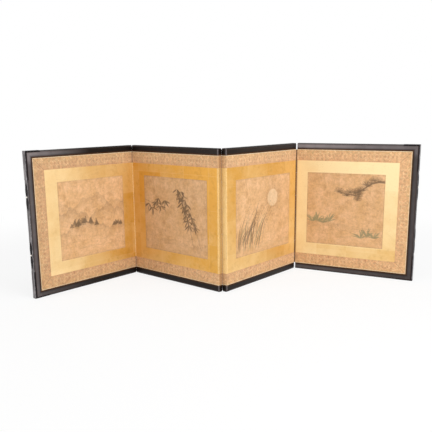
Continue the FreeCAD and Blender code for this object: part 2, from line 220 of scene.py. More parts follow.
class Shader:
    """A material, or the world, under construction."""

    def __init__(self, owner: bpy.types.Material | bpy.types.World) -> None:
        """Start with no nodes.

        Args:
            owner: the new material or world.
        """
        self.owner = owner
        owner.use_nodes = True
        self.tree = owner.node_tree
        self.tree.nodes.clear()

    def node(self, kind: str, settings: Mapping[str, object] | None = None,
             sockets: Mapping[str | int, object] | None = None,
             output: str | int = 0) -> Value:
        """Add a node: its settings come first, then the values and links of its sockets.

        Args:
            kind: the node's type.
            settings: its properties.
            sockets: a number, colour or Value for each input that is set.
            output: the output that is wanted.

        Returns:
            That output.
        """
        node = self.tree.nodes.new(kind)
        for key, setting in (settings or {}).items():
            setattr(node, key, setting)
        for key, given in (sockets or {}).items():
            if isinstance(given, Value):
                self.tree.links.new(given.socket, node.inputs[key])
            else:
                node.inputs[key].default_value = given
        return Value(self, node.outputs[output] if node.outputs else None)

    def looked_at(self) -> Value:
        """1 for a ray of the camera, a reflection or a view through glass, and 0 for light."""
        rays = ("Is Camera Ray", "Is Glossy Ray", "Is Transmission Ray")
        return reduce(Value.most, [self.node("ShaderNodeLightPath", output=ray) for ray in rays])

    def split(self, vector: Value) -> tuple[Value, Value, Value]:
        """The three parts of a vector."""
        parts = self.node("ShaderNodeSeparateXYZ", None, {0: vector}).socket.node.outputs
        return tuple(Value(self, part) for part in parts)

    def joined(self, x: Value | float, y: Value | float, z: Value | float) -> Value:
        """A vector of three values."""
        return self.node("ShaderNodeCombineXYZ", None, {0: x, 1: y, 2: z})

    def chance(self, vector: Value) -> Value:
        """A random number from 0 to 1 for each separate vector."""
        return self.node("ShaderNodeTexWhiteNoise", {"noise_dimensions": "3D"},
                         {"Vector": vector}, "Value")

    def layered(self, base: Value | Colour,
                *layers: tuple[Value | float, Value | Colour]) -> Value:
        """Lay colours over a base, one after another.

        Args:
            base: the colour at the bottom.
            layers: the share and the colour of each layer, from the lowest up.

        Returns:
            The colour that is seen.
        """
        for share, colour in layers:
            base = self.node("ShaderNodeMix", {"data_type": "RGBA"},
                             {0: share, 6: base, 7: colour}, 2)
        return base

    def toned(self, colour: Value, brightness: Value) -> Value:
        """Make a colour lighter or darker.

        Args:
            colour: the colour.
            brightness: the factor, near 1.

        Returns:
            Their product.
        """
        grey = self.joined(brightness, brightness, brightness)
        return self.node("ShaderNodeMix", {"data_type": "RGBA", "blend_type": "MULTIPLY"},
                         {0: 1.0, 6: colour, 7: grey}, 2)

    def bump(self, height: Value, depth: float) -> Value:
        """A normal that shows a height from 0 to 1 as relief of the given depth in metres."""
        return self.node("ShaderNodeBump", None,
                         {"Height": height, "Distance": depth, "Strength": 1.0}, "Normal")

    def light(self, kind: str, strength: float = 1.0) -> Value:
        """White light of a strength, from a surface or from the world's background."""
        return self.node(kind, None, {"Color": WHITE, "Strength": strength})

    def blend(self, share: Value, first: Value, second: Value, output: str) -> None:
        """Close the material or world with two surfaces, mixed.

        Args:
            share: how much of the second one is seen.
            first: the first surface.
            second: the second surface.
            output: the type of the output node.
        """
        surface = self.node("ShaderNodeMixShader", None, {0: share, 1: first, 2: second})
        self.node(output, None, {"Surface": surface})

    def finish(self, sockets: Mapping[str, object]) -> bpy.types.Material:
        """Close the material with one Principled surface.

        Args:
            sockets: a value for each of its inputs that is set.

        Returns:
            The finished material.
        """
        surface = self.node("ShaderNodeBsdfPrincipled", None, sockets)
        self.node("ShaderNodeOutputMaterial", None, {"Surface": surface})
        return self.owner


# The panels


@dataclass(frozen=True)
class Face:
    """Sizes of a panel's front, as in the model.

    Attributes:
        papered_width: the width of the papered face.
        papered_bottom: the height of its lower edge.
        papered_top: the height of its upper edge.
        rail_face: the width of a rail or stile, seen from the front.
        rail_bevel: how much of that its outer bevel takes.
        brocade_width: the width of a brocade strip.
    """

    papered_width: float = 0.397
    papered_bottom: float = 0.022
    papered_top: float = 0.433
    rail_face: float = 0.022
    rail_bevel: float = 0.0045
    brocade_width: float = 0.038

    @property
    def middle_z(self) -> float:
        """The height of the middle of the papered face."""
        return (self.papered_bottom + self.papered_top) / 2

    @property
    def half_height(self) -> float:
        """Half the height of the papered face."""
        return (self.papered_top - self.papered_bottom) / 2

    @property
    def half_width(self) -> float:
        """Half the width of the papered face."""
        return self.papered_width / 2


FACE = Face()


@dataclass(frozen=True)
class Panel:
    """One panel of the screen and the frame that it is worked out in.

    Attributes:
        number: the panel's number, from the left.
        heading_degrees: the direction of its X axis in plan, from the model's X axis.
        leaves: the sets of hinge leaves that lie beside it while the screen stands.
        beads: the sets that have a bead between the rails, and the pivot that it stands at.
        stile_end: the end that a stile closes, or None between two folds.
        mountain_end: the end at the fold that stands out towards the front, or None.
        gold_light: the painted light on its gold at its left and its right end, from 0 to 1.
        paler_top: how much more painted light its gold gets at the top than in the middle.
        lacquer_highlight: how strong the painted highlight on its lacquer is at its left and its
            right end.
        side_shade: the depths at which the painted shade on its open side begins and is full.
        valley_shade: how dark the papers are inside the fold that stands back.
        cloth_lighting: how light its brocade is painted for the light on the panel, about 1.
        silk_lighting: how light its picture's silk is painted for the light on the panel, about 1.
    """

    number: int
    heading_degrees: float
    leaves: tuple[str, ...]
    beads: Mapping[str, Pivot] = field(default_factory=dict)
    stile_end: End | None = None
    mountain_end: End | None = None
    gold_light: Pair = (0.0, 0.0)
    paler_top: float = 0.0
    lacquer_highlight: Pair = (0.0, 0.0)
    side_shade: Pair = (-0.0085, 0.0085)
    valley_shade: float = 0.0
    cloth_lighting: float = 1.0
    silk_lighting: float = 1.0

    @property
    def body(self) -> str:
        """The name of the panel's body."""
        return f"panel_{self.number}"

    @property
    def mountain_side(self) -> int:
        """1 or -1 for the end at the fold that stands out, or 0 where it has no such end."""
        return self.mountain_end.value if self.mountain_end else 0

    @property
    def valley_side(self) -> int:
        """1 or -1 for the end at the fold that stands back: the right one of odd panels."""
        return 1 if self.number % 2 else -1

    @property
    def heading(self) -> float:
        """The heading in radians."""
        return math.radians(self.heading_degrees)

    @property
    def foot(self) -> Vector:
        """The middle of the panel's foot, where its mount is."""
        mounts = {mount["name"]: mount for mount in frame["record"]["mounts"]}
        return Vector(mounts[f"{self.body}_foot"]["pos_m"])

    @property
    def turn(self) -> Matrix:
        """The turn from the panel's frame to the model's."""
        return Matrix.Rotation(self.heading, 3, "Z")

    def to_model(self, points: np.ndarray) -> np.ndarray:
        """Turn points of the panel's frame into the model's: turned by the heading, then moved."""
        return points @ np.array(self.turn).T + np.array(self.foot)

    def piece(self, name: str, points: np.ndarray, faces: list[list[int]],
              material: bpy.types.Material) -> bpy.types.Object:
        """Build a piece from points of the panel's frame.

        Args:
            name: the name of the piece.
            points: its points.
            faces: the points of each face, by number.
            material: its finish.

        Returns:
            The piece, with its points in the model's frame.
        """
        mesh = bpy.data.meshes.new(name)
        mesh.from_pydata(self.to_model(points).tolist(), [], faces)
        mesh.materials.append(material)
        return placed(name, mesh)

    def limits(self, node: str) -> tuple[np.ndarray, np.ndarray]:
        """Measure a CAD node in the panel's frame.

        Args:
            node: the node's name.

        Returns:
            Its lowest and highest corners.
        """
        mesh = frame["nodes"][node].data
        points = np.empty(len(mesh.vertices) * 3, np.float32)
        mesh.vertices.foreach_get("co", points)
        local = (points.reshape(-1, 3) - np.array(self.foot)) @ np.array(self.turn)
        return local.min(axis=0), local.max(axis=0)


PANELS = (
    Panel(1, 49.8, ("fold_12_leaves_a",), {"fold_12_leaves_a": Pivot.FRONT}, stile_end=End.LEFT,
          gold_light=(0.85, 0.12), paler_top=0.05, lacquer_highlight=(0.76, -0.66), cloth_lighting=0.90),
    Panel(2, -41.7, ("fold_12_leaves_b", "fold_23_leaves_b"), mountain_end=End.RIGHT,
          gold_light=(0.20, -0.02), paler_top=-0.10, side_shade=(-0.0078, -0.0005), silk_lighting=0.94),
    Panel(3, 50.5, ("fold_23_leaves_a", "fold_34_leaves_b"), {"fold_23_leaves_a": Pivot.BACK},
          mountain_end=End.LEFT, gold_light=(0.17, 0.22), paler_top=-0.12, lacquer_highlight=(0.0, 0.10),
          side_shade=(0.0060, 0.0095), valley_shade=0.9, cloth_lighting=0.96, silk_lighting=0.97),
    Panel(4, -27.9, ("fold_34_leaves_a",), stile_end=End.RIGHT, gold_light=(0.72, 0.60),
          paler_top=0.26, lacquer_highlight=(1.0, 0.45), valley_shade=0.9, cloth_lighting=1.04),
)


# Finishes


@dataclass(frozen=True)
class Grain:
    """Soft noise from 0 to 1 that makes a surface uneven.

    Attributes:
        size: the size of its features.
        detail: how many finer layers it has.
        roughness: how strong those are.
        stretch: what the place is scaled by; its features are longer where that is under 1.
    """

    size: float
    detail: float = 3.0
    roughness: float = 0.55
    stretch: Triple | None = None


@dataclass(frozen=True)
class Skin:
    """What a paper or cloth is like at a point, before it becomes a surface.

    Attributes:
        colour: its colour.
        height: its relief, from 0 to 1.
        roughness: its roughness.
        metallic: how metallic it is.
    """

    colour: Value
    height: Value
    roughness: Value | float
    metallic: Value | float = 0.0


class PanelShader(Shader):
    """A material for the pieces of one panel.

    Attributes:
        panel: the panel.
        place: the place of a point in the panel's own frame.
        x, y, z: the three parts of that place.
    """

    def __init__(self, name: str, panel: Panel) -> None:
        """Start a material and work out where its points are.

        Args:
            name: the name of the finish.
            panel: the panel that it is for.
        """
        super().__init__(bpy.data.materials.new(f"{name}_{panel.number}"))
        self.panel = panel
        coordinates = self.node("ShaderNodeTexCoord", output="Object")
        self.place = self.node("ShaderNodeMapping", {"vector_type": "TEXTURE"},
                               {"Vector": coordinates, "Location": tuple(panel.foot),
                                "Rotation": (0.0, 0.0, panel.heading)})
        self.x, self.y, self.z = self.split(self.place)

    @property
    def height(self) -> Value:
        """How far a point is above the middle of the panel."""
        return self.z - FACE.middle_z

    @property
    def from_rail(self) -> Value:
        """How far a point of the papered face is from the nearer rail."""
        return FACE.half_height - abs(self.height)

    def noise(self, grain: Grain, place: Value | None = None) -> Value:
        """Add noise to the material.

        Args:
            grain: the kind of noise.
            place: where it is taken, or None for the point's own place.

        Returns:
            The noise.
        """
        place = self.place if place is None else place
        if grain.stretch is not None:
            place = self.node("ShaderNodeVectorMath", {"operation": "MULTIPLY"},
                              {0: place, 1: grain.stretch})
        return self.node("ShaderNodeTexNoise", None,
                         {"Vector": place, "Scale": 1 / grain.size, "Detail": grain.detail,
                          "Roughness": grain.roughness}, "Fac")

    def noises(self, *grains: Grain) -> list[Value]:
        """Several kinds of noise at the point's own place."""
        return [self.noise(grain) for grain in grains]

    def between_ends(self, ends: Pair) -> Value:
        """A share that goes in a straight line from one at the left end to one at the right."""
        left, right = ends
        return (self.x / FACE.papered_width + 0.5) * (right - left) + left

    def near_end(self, side: int, limits: Pair, ragged: Value | float = 0.0) -> Value:
        """Go from 0 to 1 as a point comes near an end of the panel.

        Args:
            side: 1 for the right end, -1 for the left one, or 0 for neither, which gives 0.
            limits: the distances from the end at which it is 0 and 1.
            ragged: how much nearer the end the point is taken to be.

        Returns:
            The share.
        """
        start, stop = limits
        return (self.x * side + ragged).ramp(FACE.half_width - start, FACE.half_width - stop)


class Finish(ABC):
    """A finish, from which each panel gets a material in its own frame.

    Attributes:
        name: the name that each of its materials starts with.
    """

    name: str

    def dress(self, panel: Panel) -> bpy.types.Material:
        """Build the material for the pieces of one panel."""
        shader = PanelShader(self.name, panel)
        return shader.finish(self.surface(shader))

    @abstractmethod
    def surface(self, shader: PanelShader) -> dict[str, object]:
        """Work out what feeds the surface.

        Args:
            shader: the material under construction.

        Returns:
            A value for each socket of the surface.
        """


@dataclass(frozen=True)
class Scratches:
    """Fine slanted scratches down the outer sides of the frame.

    Attributes:
        bare: the colour that they show.
        grain: the noise that they are made of.
        along: what that noise is scaled by from top to bottom.
        slant: how far back a scratch goes for each metre up.
        least: how scratched the skin between them is.
        limits: the noise at which a scratch begins and is full.
    """

    bare: Colour = tint("bcb6b8")
    grain: Grain = Grain(0.0023, 6.0, 0.72)
    along: float = 0.04
    slant: float = 0.14
    least: float = 0.16
    limits: Pair = (0.42, 0.68)

    def amount(self, shader: PanelShader) -> Value:
        """Work out the noise at (x, y + slant * z, along * z), which slants the scratches.

        Args:
            shader: the material under construction.

        Returns:
            How scratched a point is, from least to 1.
        """
        slanted = shader.joined(shader.x, shader.y + shader.z * self.slant,
                                shader.z * self.along)
        scratch = shader.noise(self.grain, slanted).ramp(*self.limits)
        return self.least + scratch * (1.0 - self.least)


SCRATCHES = Scratches()


@dataclass(frozen=True)
class BlackLacquer(Finish):
    """Old black lacquer, brown at its edges, with a painted highlight along the middle of the
    moulding.

    A place on the moulding is told by how far it is outside the papered face.

    Attributes:
        black: the lacquer where it is whole.
        rubbed: where it is rubbed thin.
        highlight_and_dust: the painted highlight that the moulding reflects, and its dust.
        grain, cloud, ragged, dust: the noises of the wood, the painted highlight, the edges and the
            dust.
        lip: where the rubbed inner lip begins and is full, and how ragged it is.
        ridge: where the outer ridge is, how wide its rubbed line is and how ragged.
        middle: where the painted highlight is strongest.
        highlight_reach: the distances from there at which the painted highlight ends and is full.
        upper_rail: the heights from the middle at which the painted highlight of the top rail grows
            stronger and is full.
        highlight_shares: the painted highlight of the lower rail, and what the upper rail and a
            stile add.
        outer_side: where the outer side of a stile begins.
        corner: where the painted highlights on the rails' ends at the front fold begin and are
            full.
        corner_depth: the depths at which they do.
        relief: the depth of the surface.
    """

    name: ClassVar[str] = "black_lacquer"
    black: Colour = tint("160f0b")
    rubbed: Colour = tint("563210")
    highlight_and_dust: Colour = tint("877f80")
    grain: Grain = Grain(0.002, 4.0, stretch=(0.25, 1.0, 0.25))
    cloud: Grain = Grain(0.03)
    ragged: Grain = Grain(0.004)
    dust: Grain = Grain(0.0009, 2.0)
    lip: Triple = (0.0056, 0.0, 0.0016)
    ridge: Triple = (0.0172, 0.0007, 0.0020)
    middle: float = 0.0125
    highlight_reach: Pair = (0.0110, 0.0015)
    upper_rail: Pair = (0.18, 0.21)
    highlight_shares: Triple = (0.36, 0.64, 0.14)
    outer_side: Pair = (0.0205, 0.0212)
    corner: Pair = (0.0028, 0.0012)
    corner_depth: Pair = (-0.0030, -0.0085)
    relief: float = 0.00012

    def surface(self, shader: PanelShader) -> dict[str, object]:
        """Work out the lacquer.

        Args:
            shader: the material under construction.

        Returns:
            A value for each socket of the surface.
        """
        grain, cloud, ragged, dust = shader.noises(self.grain, self.cloud, self.ragged,
                                                   self.dust)
        beside = abs(shader.x) - FACE.half_width
        out = beside.most(abs(shader.height) - FACE.half_height)
        lip_start, lip_stop, lip_ragged = self.lip
        lip = (out + (ragged - 0.5) * lip_ragged).ramp(lip_start, lip_stop)
        ridge_place, ridge_width, ridge_ragged = self.ridge
        from_ridge = abs(out - ridge_place) + (ragged - 0.5) * ridge_ragged
        ridge = from_ridge.ramp(ridge_width, 0.0) * cloud
        # Painted highlight: the grey that the moulding reflects, strongest along its middle and top
        # rail.
        lacquer_highlight = shader.between_ends(shader.panel.lacquer_highlight).most(0.0)
        lower, upper, stile = self.highlight_shares
        share = (beside.ramp(0.0, 0.0004) * stile
                 + shader.height.ramp(*self.upper_rail) * upper + lower).least(1.0)
        moulding_highlight = (abs(out - self.middle).ramp(*self.highlight_reach) * lacquer_highlight * share
                * (0.6 + cloud * 0.8))
        # Painted highlight on the rails' ends at the fold that stands out.
        corner = (shader.near_end(shader.panel.mountain_side, self.corner)
                  * shader.y.ramp(*self.corner_depth))
        # Light scratches on a stile's outer side, scaled by the painted highlight: partly painted
        # highlight.
        scratched = beside.ramp(*self.outer_side) * lacquer_highlight * SCRATCHES.amount(shader)
        colour = shader.layered(
            self.black, (lip * 0.9, self.rubbed), (moulding_highlight.least(1.0), self.highlight_and_dust),
            (dust.ramp(0.62, 0.8) * 0.15, self.highlight_and_dust), (corner * ragged * 0.9, self.highlight_and_dust),
            (scratched.least(1.0), SCRATCHES.bare), (ridge * 0.8, self.rubbed))
        return {"Base Color": colour,
                "Roughness": 0.30 + cloud * 0.16 + lip * 0.25 + grain * 0.06,
                "Normal": shader.bump(grain * 0.6 + ragged * 0.4, self.relief),
                "Specular IOR Level": 0.16, "Coat Weight": 0.03, "Coat Roughness": 0.2}


@dataclass(frozen=True)
class GoldLeaf(Finish):
    """Gold leaf laid in squares on paper, rubbed through at the folds, with painted light and
    shade.

    Attributes:
        rich, pale: the gold in painted shade and in painted light; the seams are pale too.
        ground: the paper where the gold has gone.
        worn_and_glint: the gold rubbed along a fold that stands out, and a painted highlight in a
            crease.
        ochre: its stains.
        crease: painted shade in the fold that stands back.
        square: the size of a square of leaf.
        offsets: how far the squares are moved along and up from panel to panel, in squares.
        seam: where the overlap of two squares begins and is full, in squares from the middle.
        crinkle, cloud, fine, stain: the noises of the paper, the paleness, the holes, the stains.
        strip: how far above and below the middle the strips of the border start.
        joint: where a strip that was laid later ends, along the panel.
        cuts: how sharp the level and the upright cuts of those strips are.
        worn_edge: the distances from the front fold at which the wear begins and is full.
        creased: those at which the painted shade in the fold that stands back begins and is full.
        glint: those at which the painted highlight along a crease does.
        metallic: how metallic the gold is where it is whole.
        relief: the depth of the surface.
    """

    name: ClassVar[str] = "gold_leaf"
    rich: Colour = tint("dba64b")
    pale: Colour = tint("fde3ae")
    ground: Colour = tint("c9985c")
    worn_and_glint: Colour = tint("ffdf9f")
    ochre: Colour = tint("bd8a34")
    crease: Colour = tint("8a4e12")
    square: float = 0.109
    offsets: Pair = (0.27, 0.31)
    seam: Pair = (0.488, 0.497)
    crinkle: Grain = Grain(0.0035, 5.0, 0.65)
    cloud: Grain = Grain(0.06, 4.0)
    fine: Grain = Grain(0.0008, 2.0)
    stain: Grain = Grain(0.020, 4.0, 0.65)
    strip: float = 0.1300
    joint: float = -0.118
    cuts: Pair = (0.0002, 0.0003)
    worn_edge: Pair = (0.0048, 0.0022)
    creased: Pair = (0.0050, 0.0006)
    glint: Pair = (0.0022, 0.0008)
    metallic: float = 0.55
    relief: float = 0.00018

    def leafed(self, shader: PanelShader) -> Skin:
        """Work out the squares of leaf and their wear.

        Args:
            shader: the material under construction.

        Returns:
            The gilded paper.
        """
        panel = shader.panel
        crinkle, cloud, fine, stain = shader.noises(self.crinkle, self.cloud, self.fine,
                                                    self.stain)
        along = shader.x / self.square + self.offsets[0] * panel.number
        up = shader.z / self.square + self.offsets[1] * panel.number
        tone = shader.chance(shader.joined(along.floor(), up.floor(), 3.0 + panel.number))
        seam = abs(along - along.floor() - 0.5).most(abs(up - up.floor() - 0.5)).ramp(*self.seam)
        holes = (crinkle + fine * 0.4).ramp(0.80, 0.92)
        edge = shader.near_end(panel.mountain_side, self.worn_edge, (crinkle - 0.5) * 0.003)
        ragged = (crinkle - 0.5) * 0.002
        creased = shader.near_end(panel.valley_side, self.creased, ragged)
        glint = shader.near_end(panel.valley_side, self.glint, ragged)
        # Painted light and shade: paler towards the lit end and the top, deeper towards the folds.
        share = (shader.between_ends(panel.gold_light) + (tone - 0.5) * 0.20 + (cloud - 0.5) * 0.7
                 + (crinkle - 0.5) * 0.3 + (1.0 - self._later(shader)) * panel.gold_light[1] * 0.40
                 + shader.height * (panel.paler_top / FACE.half_height))
        lit_share = share.most(0.0).least(1.0)
        colour = shader.layered(
            self.rich, (lit_share, self.pale),
            # Stains, mostly where the gold is painted in shade.
            (stain.ramp(0.50, 0.72) * (1.0 - lit_share) * 0.40, self.ochre),
            (seam * 0.14, self.pale), (holes * 0.5, self.ground),
            (edge * crinkle.ramp(0.30, 0.5) * 0.5, self.worn_and_glint),
            # Painted shade in the fold that stands back.
            (creased * panel.valley_shade * 0.75, self.crease),
            # Painted highlight along the crease of that fold.
            (glint * crinkle.ramp(0.34, 0.60) * (1.0 - panel.valley_shade) * 0.55, self.worn_and_glint))
        return Skin(colour, height=crinkle * 0.7 + seam * 0.3,
                    roughness=0.40 + crinkle * 0.14 + tone * 0.06,
                    metallic=self.metallic - holes * 0.5 - edge * 0.5)

    def _later(self, shader: PanelShader) -> Value:
        """Where the gold was laid later: below the picture on the right, above it on the left.

        Args:
            shader: the material under construction.

        Returns:
            How much less of the painted light of its right end it gets than the rest, from 0 to 1.
        """
        level, upright = self.cuts
        past_joint = shader.x - self.joint
        below = shader.height.ramp(-self.strip, -self.strip - level)
        above = shader.height.ramp(self.strip, self.strip + level)
        return (below * past_joint.ramp(0.0, upright) * 0.60
                + above * past_joint.ramp(0.0, -upright) * 0.55)

    def surface(self, shader: PanelShader) -> dict[str, object]:
        """Work out the gold border.

        Args:
            shader: the material under construction.

        Returns:
            A value for each socket of the surface.
        """
        paper = self.leafed(shader)
        return {"Base Color": paper.colour, "Metallic": paper.metallic,
                "Roughness": paper.roughness, "Normal": shader.bump(paper.height, self.relief)}


@dataclass(frozen=True)
class Brocade(Finish):
    """Thin silk brocade: pairs of linked rings with flowers in them, and small lozenges.

    Attributes:
        ground, pale: the two threads of the ground.
        rose, green: the tufts of colour; the flowers are rose too.
        pink: the blush that is stronger away from the frame.
        aged: its dirt.
        bare: the clean line beside the frame.
        pitch: the repeat of the pattern along a strip.
        line: the width of a drawn line.
        ring_radius, ring_offset: the radius of a ring and how far its centre is from its pair's.
        flower_radius, petals: the middle radius of a flower and the number of its petals.
        lozenge_offset: how far from the middle of the strip the lozenges stand.
        lozenge_rim, lozenge_heart: where a lozenge's outer and inner edges begin and are full.
        thread: the pitch of its threads.
        slub, speckle, tufts, cloud, shown: the noises of the thread, the colours, the dirt and
            the parts of the pattern that still show.
        bare_line: the distances from the frame at which the clean line begins and is full.
        creased: those from the fold that stands back at which its dirt does.
        relief: the depth of the surface.
    """

    name: ClassVar[str] = "brocade"
    ground: Colour = tint("d3a26c")
    pale: Colour = tint("f2d2a2")
    rose: Colour = tint("b3754f")
    green: Colour = tint("9c864a")
    pink: Colour = tint("dba77e")
    aged: Colour = tint("8f6440")
    bare: Colour = tint("f6e2bd")
    pitch: float = 0.0270
    line: float = 0.0011
    ring_radius: float = 0.0072
    ring_offset: float = 0.0050
    flower_radius: float = 0.0036
    petals: float = 5.0
    lozenge_offset: float = 0.0110
    lozenge_rim: Pair = (0.0050, 0.0044)
    lozenge_heart: Pair = (0.0026, 0.0020)
    thread: float = 0.00055
    slub: Grain = Grain(0.0015, stretch=(1.0, 1.0, 0.2))
    speckle: Grain = Grain(0.0060, roughness=0.7)
    tufts: Grain = Grain(0.0110, 4.0, 0.75)
    cloud: Grain = Grain(0.045, 4.0)
    shown: Grain = Grain(0.024, 2.0)
    bare_line: Pair = (0.0024, 0.0010)
    creased: Pair = (0.0026, 0.0006)
    relief: float = 0.00012

    def _strip(self, shader: PanelShader) -> tuple[Value, Value | float, Value | float]:
        """Tell the strips beside a stile from those along the rails.

        Args:
            shader: the material under construction.

        Returns:
            The distance from the frame, 1 on a side strip, and 1 on the mitre between two.
        """
        from_rail, stile_end = shader.from_rail, shader.panel.stile_end
        if stile_end is None:
            return from_rail, 0.0, 0.0
        from_stile = FACE.half_width - shader.x * stile_end.value
        nearer_stile = from_rail - from_stile
        return (from_rail.least(from_stile), nearer_stile.ramp(-0.0002, 0.0002),
                abs(nearer_stile).ramp(0.0013, 0.0004))

    def _motifs(self, along: Value, across: Value) -> tuple[Value, Value, Value]:
        """Draw the pattern.

        A ring is drawn where the distance from its centre is near its radius, and the rim of
        the flower in it is r = r0 (1 + 0.3 cos(petals * angle)). A lozenge is a limit on
        |along| + |across|.

        Args:
            along: the distance along the strip.
            across: the distance from the middle of the strip.

        Returns:
            The shares of the rings, the flowers and the lozenges.
        """
        a = along.wrapped(self.pitch)
        rings = reduce(Value.most, [
            abs((a - offset).distance(across) - self.ring_radius).ramp(self.line, self.line * 0.4)
            for offset in (-self.ring_offset, self.ring_offset)])
        from_heart = abs(a) - self.ring_offset
        petal = (across.angle(from_heart) * self.petals).cosine()
        rim = self.flower_radius * (1.0 + 0.3 * petal)
        flower = (from_heart.distance(across) - rim).ramp(0.0005, -0.0004)
        b = (along + self.pitch / 2).wrapped(self.pitch)
        from_lozenge = abs(b) + abs(abs(across) - self.lozenge_offset)
        lozenges = (from_lozenge.ramp(*self.lozenge_rim)
                    - from_lozenge.ramp(*self.lozenge_heart) * 0.7)
        return rings, flower, lozenges

    def woven(self, shader: PanelShader) -> Skin:
        """Work out the cloth.

        Args:
            shader: the material under construction.

        Returns:
            The cloth.
        """
        panel = shader.panel
        slub, speckle, tufts, cloud, shown = shader.noises(self.slub, self.speckle, self.tufts,
                                                           self.cloud, self.shown)
        shown = shown.ramp(0.36, 0.64)
        from_frame, side, mitre = self._strip(shader)
        across = from_frame - FACE.brocade_width / 2
        along = shader.x + side * (shader.z - shader.x) + shader.y
        rings, flower, lozenges = self._motifs(along, across)
        warp, weft = ((part * (2 * math.pi / self.thread)).cosine() for part in (along, across))
        weave = warp * weft * 0.5 + 0.5
        drawn = rings.most(lozenges).least(1.0)
        creased = shader.near_end(panel.valley_side, self.creased)
        colour = shader.layered(
            self.ground, (slub * 0.4, self.pale),
            (across.ramp(-0.030, 0.016) * (0.18 + cloud * 0.6), self.pink),
            (tufts.ramp(0.53, 0.68) * 0.50, self.rose),
            (tufts.ramp(0.45, 0.32) * 0.38, self.green),
            (flower * (0.08 + shown * 0.14), self.rose),
            (drawn * (0.16 + shown * 0.48), self.pale),
            (cloud.ramp(0.45, 0.8) * 0.2, self.aged), (mitre * 0.7, self.aged),
            (from_frame.ramp(*self.bare_line) * 0.85, self.bare), (creased * 0.55, self.aged))
        light = 0.36 + weave * 0.06 + slub * 0.06 + speckle
        # Painted light: each panel's brocade is made lighter or darker for the light that falls on
        # it.
        return Skin(shader.toned(colour, light * panel.cloth_lighting),
                    height=(rings * 0.3 + flower * 0.25 + lozenges * 0.2 + weave * 0.3
                            + slub * 0.2),
                    roughness=0.72)

    def surface(self, shader: PanelShader) -> dict[str, object]:
        """Work out the brocade border.

        Args:
            shader: the material under construction.

        Returns:
            A value for each socket of the surface.
        """
        cloth = self.woven(shader)
        return {"Base Color": cloth.colour, "Roughness": cloth.roughness, "Sheen Weight": 0.25,
                "Sheen Roughness": 0.4, "Normal": shader.bump(cloth.height, self.relief)}


@dataclass(frozen=True)
class FoldPaper(Finish):
    """The wrapped edge of a panel and its hinge leaves: gold, with brocade at both ends.

    Attributes:
        gold: the gilded paper.
        brocade: the cloth at both ends.
        crease: painted shade at the fold that stands out, deeper towards the back.
        shaded: painted shade in the fold that stands back.
        scuff: the noise of its wear.
        butt: how sharp the joint of cloth and gold is.
        valley_depth: the depths at which the painted shade in the fold that stands back begins and
            is full.
        relief: the depth of the surface.
    """

    name: ClassVar[str] = "fold_paper"
    gold: GoldLeaf = GoldLeaf()
    brocade: Brocade = Brocade()
    crease: Colour = tint("6e3f0c")
    shaded: Colour = tint("5a360f")
    scuff: Grain = Grain(0.0012, 4.0, stretch=(1.0, 1.0, 0.15))
    butt: float = 0.0002
    valley_depth: Pair = (0.0030, -0.0040)
    relief: float = 0.00015

    def surface(self, shader: PanelShader) -> dict[str, object]:
        """Work out the papers of a fold.

        Args:
            shader: the material under construction.

        Returns:
            A value for each socket of the surface.
        """
        panel = shader.panel
        paper, cloth = self.gold.leafed(shader), self.brocade.woven(shader)
        is_cloth = shader.from_rail.ramp(FACE.brocade_width + self.butt,
                                         FACE.brocade_width - self.butt)
        scuff = shader.noise(self.scuff)
        in_valley = 1.0 - (shader.x * panel.mountain_side).ramp(0.0, 0.001)
        # Painted shade on the open side at the fold that stands out, deeper towards the back.
        seam = shader.y.ramp(*panel.side_shade) * (1.0 - in_valley)
        # Painted shade at the front of the papers in the fold that stands back.
        shade = (in_valley * shader.y.ramp(*self.valley_depth)
                 * (panel.valley_shade + scuff * 0.2 - 0.1))
        colour = shader.layered(paper.colour, (is_cloth, cloth.colour),
                                (seam * (0.30 + scuff * 0.46), self.crease),
                                (shade, self.shaded))
        bright = 1.0 - in_valley.most(seam)
        return {"Base Color": colour, "Metallic": paper.metallic * (1.0 - is_cloth) * bright,
                "Roughness": paper.roughness + is_cloth * 0.25,
                "Normal": shader.bump(paper.height * 0.6 + cloth.height * 0.4, self.relief)}


@dataclass(frozen=True)
class Fibrous(Finish):
    """Wood or layered paper, seen only at an edge or if a panel is opened up.

    Attributes:
        name: its name.
        light, dark: the colours of its bands.
        bands: the noise of its rings or layers.
        band_limits: where a band begins and is full, or None where it is as soft as the noise.
        fibre: the noise of its fibres.
        roughness: its roughness.
        relief: the depth of its fibres.
    """

    name: str
    light: Colour
    dark: Colour
    bands: Grain
    fibre: Grain
    roughness: float
    band_limits: Pair | None = None
    relief: float = 0.0001

    def surface(self, shader: PanelShader) -> dict[str, object]:
        """Work out the bands and fibres.

        Args:
            shader: the material under construction.

        Returns:
            A value for each socket of the surface.
        """
        bands, fibre = shader.noises(self.bands, self.fibre)
        if self.band_limits is not None:
            bands = bands.ramp(*self.band_limits)
        colour = shader.layered(self.light, (bands * 0.7 + fibre * 0.3, self.dark))
        return {"Base Color": colour, "Roughness": self.roughness,
                "Normal": shader.bump(fibre, self.relief)}


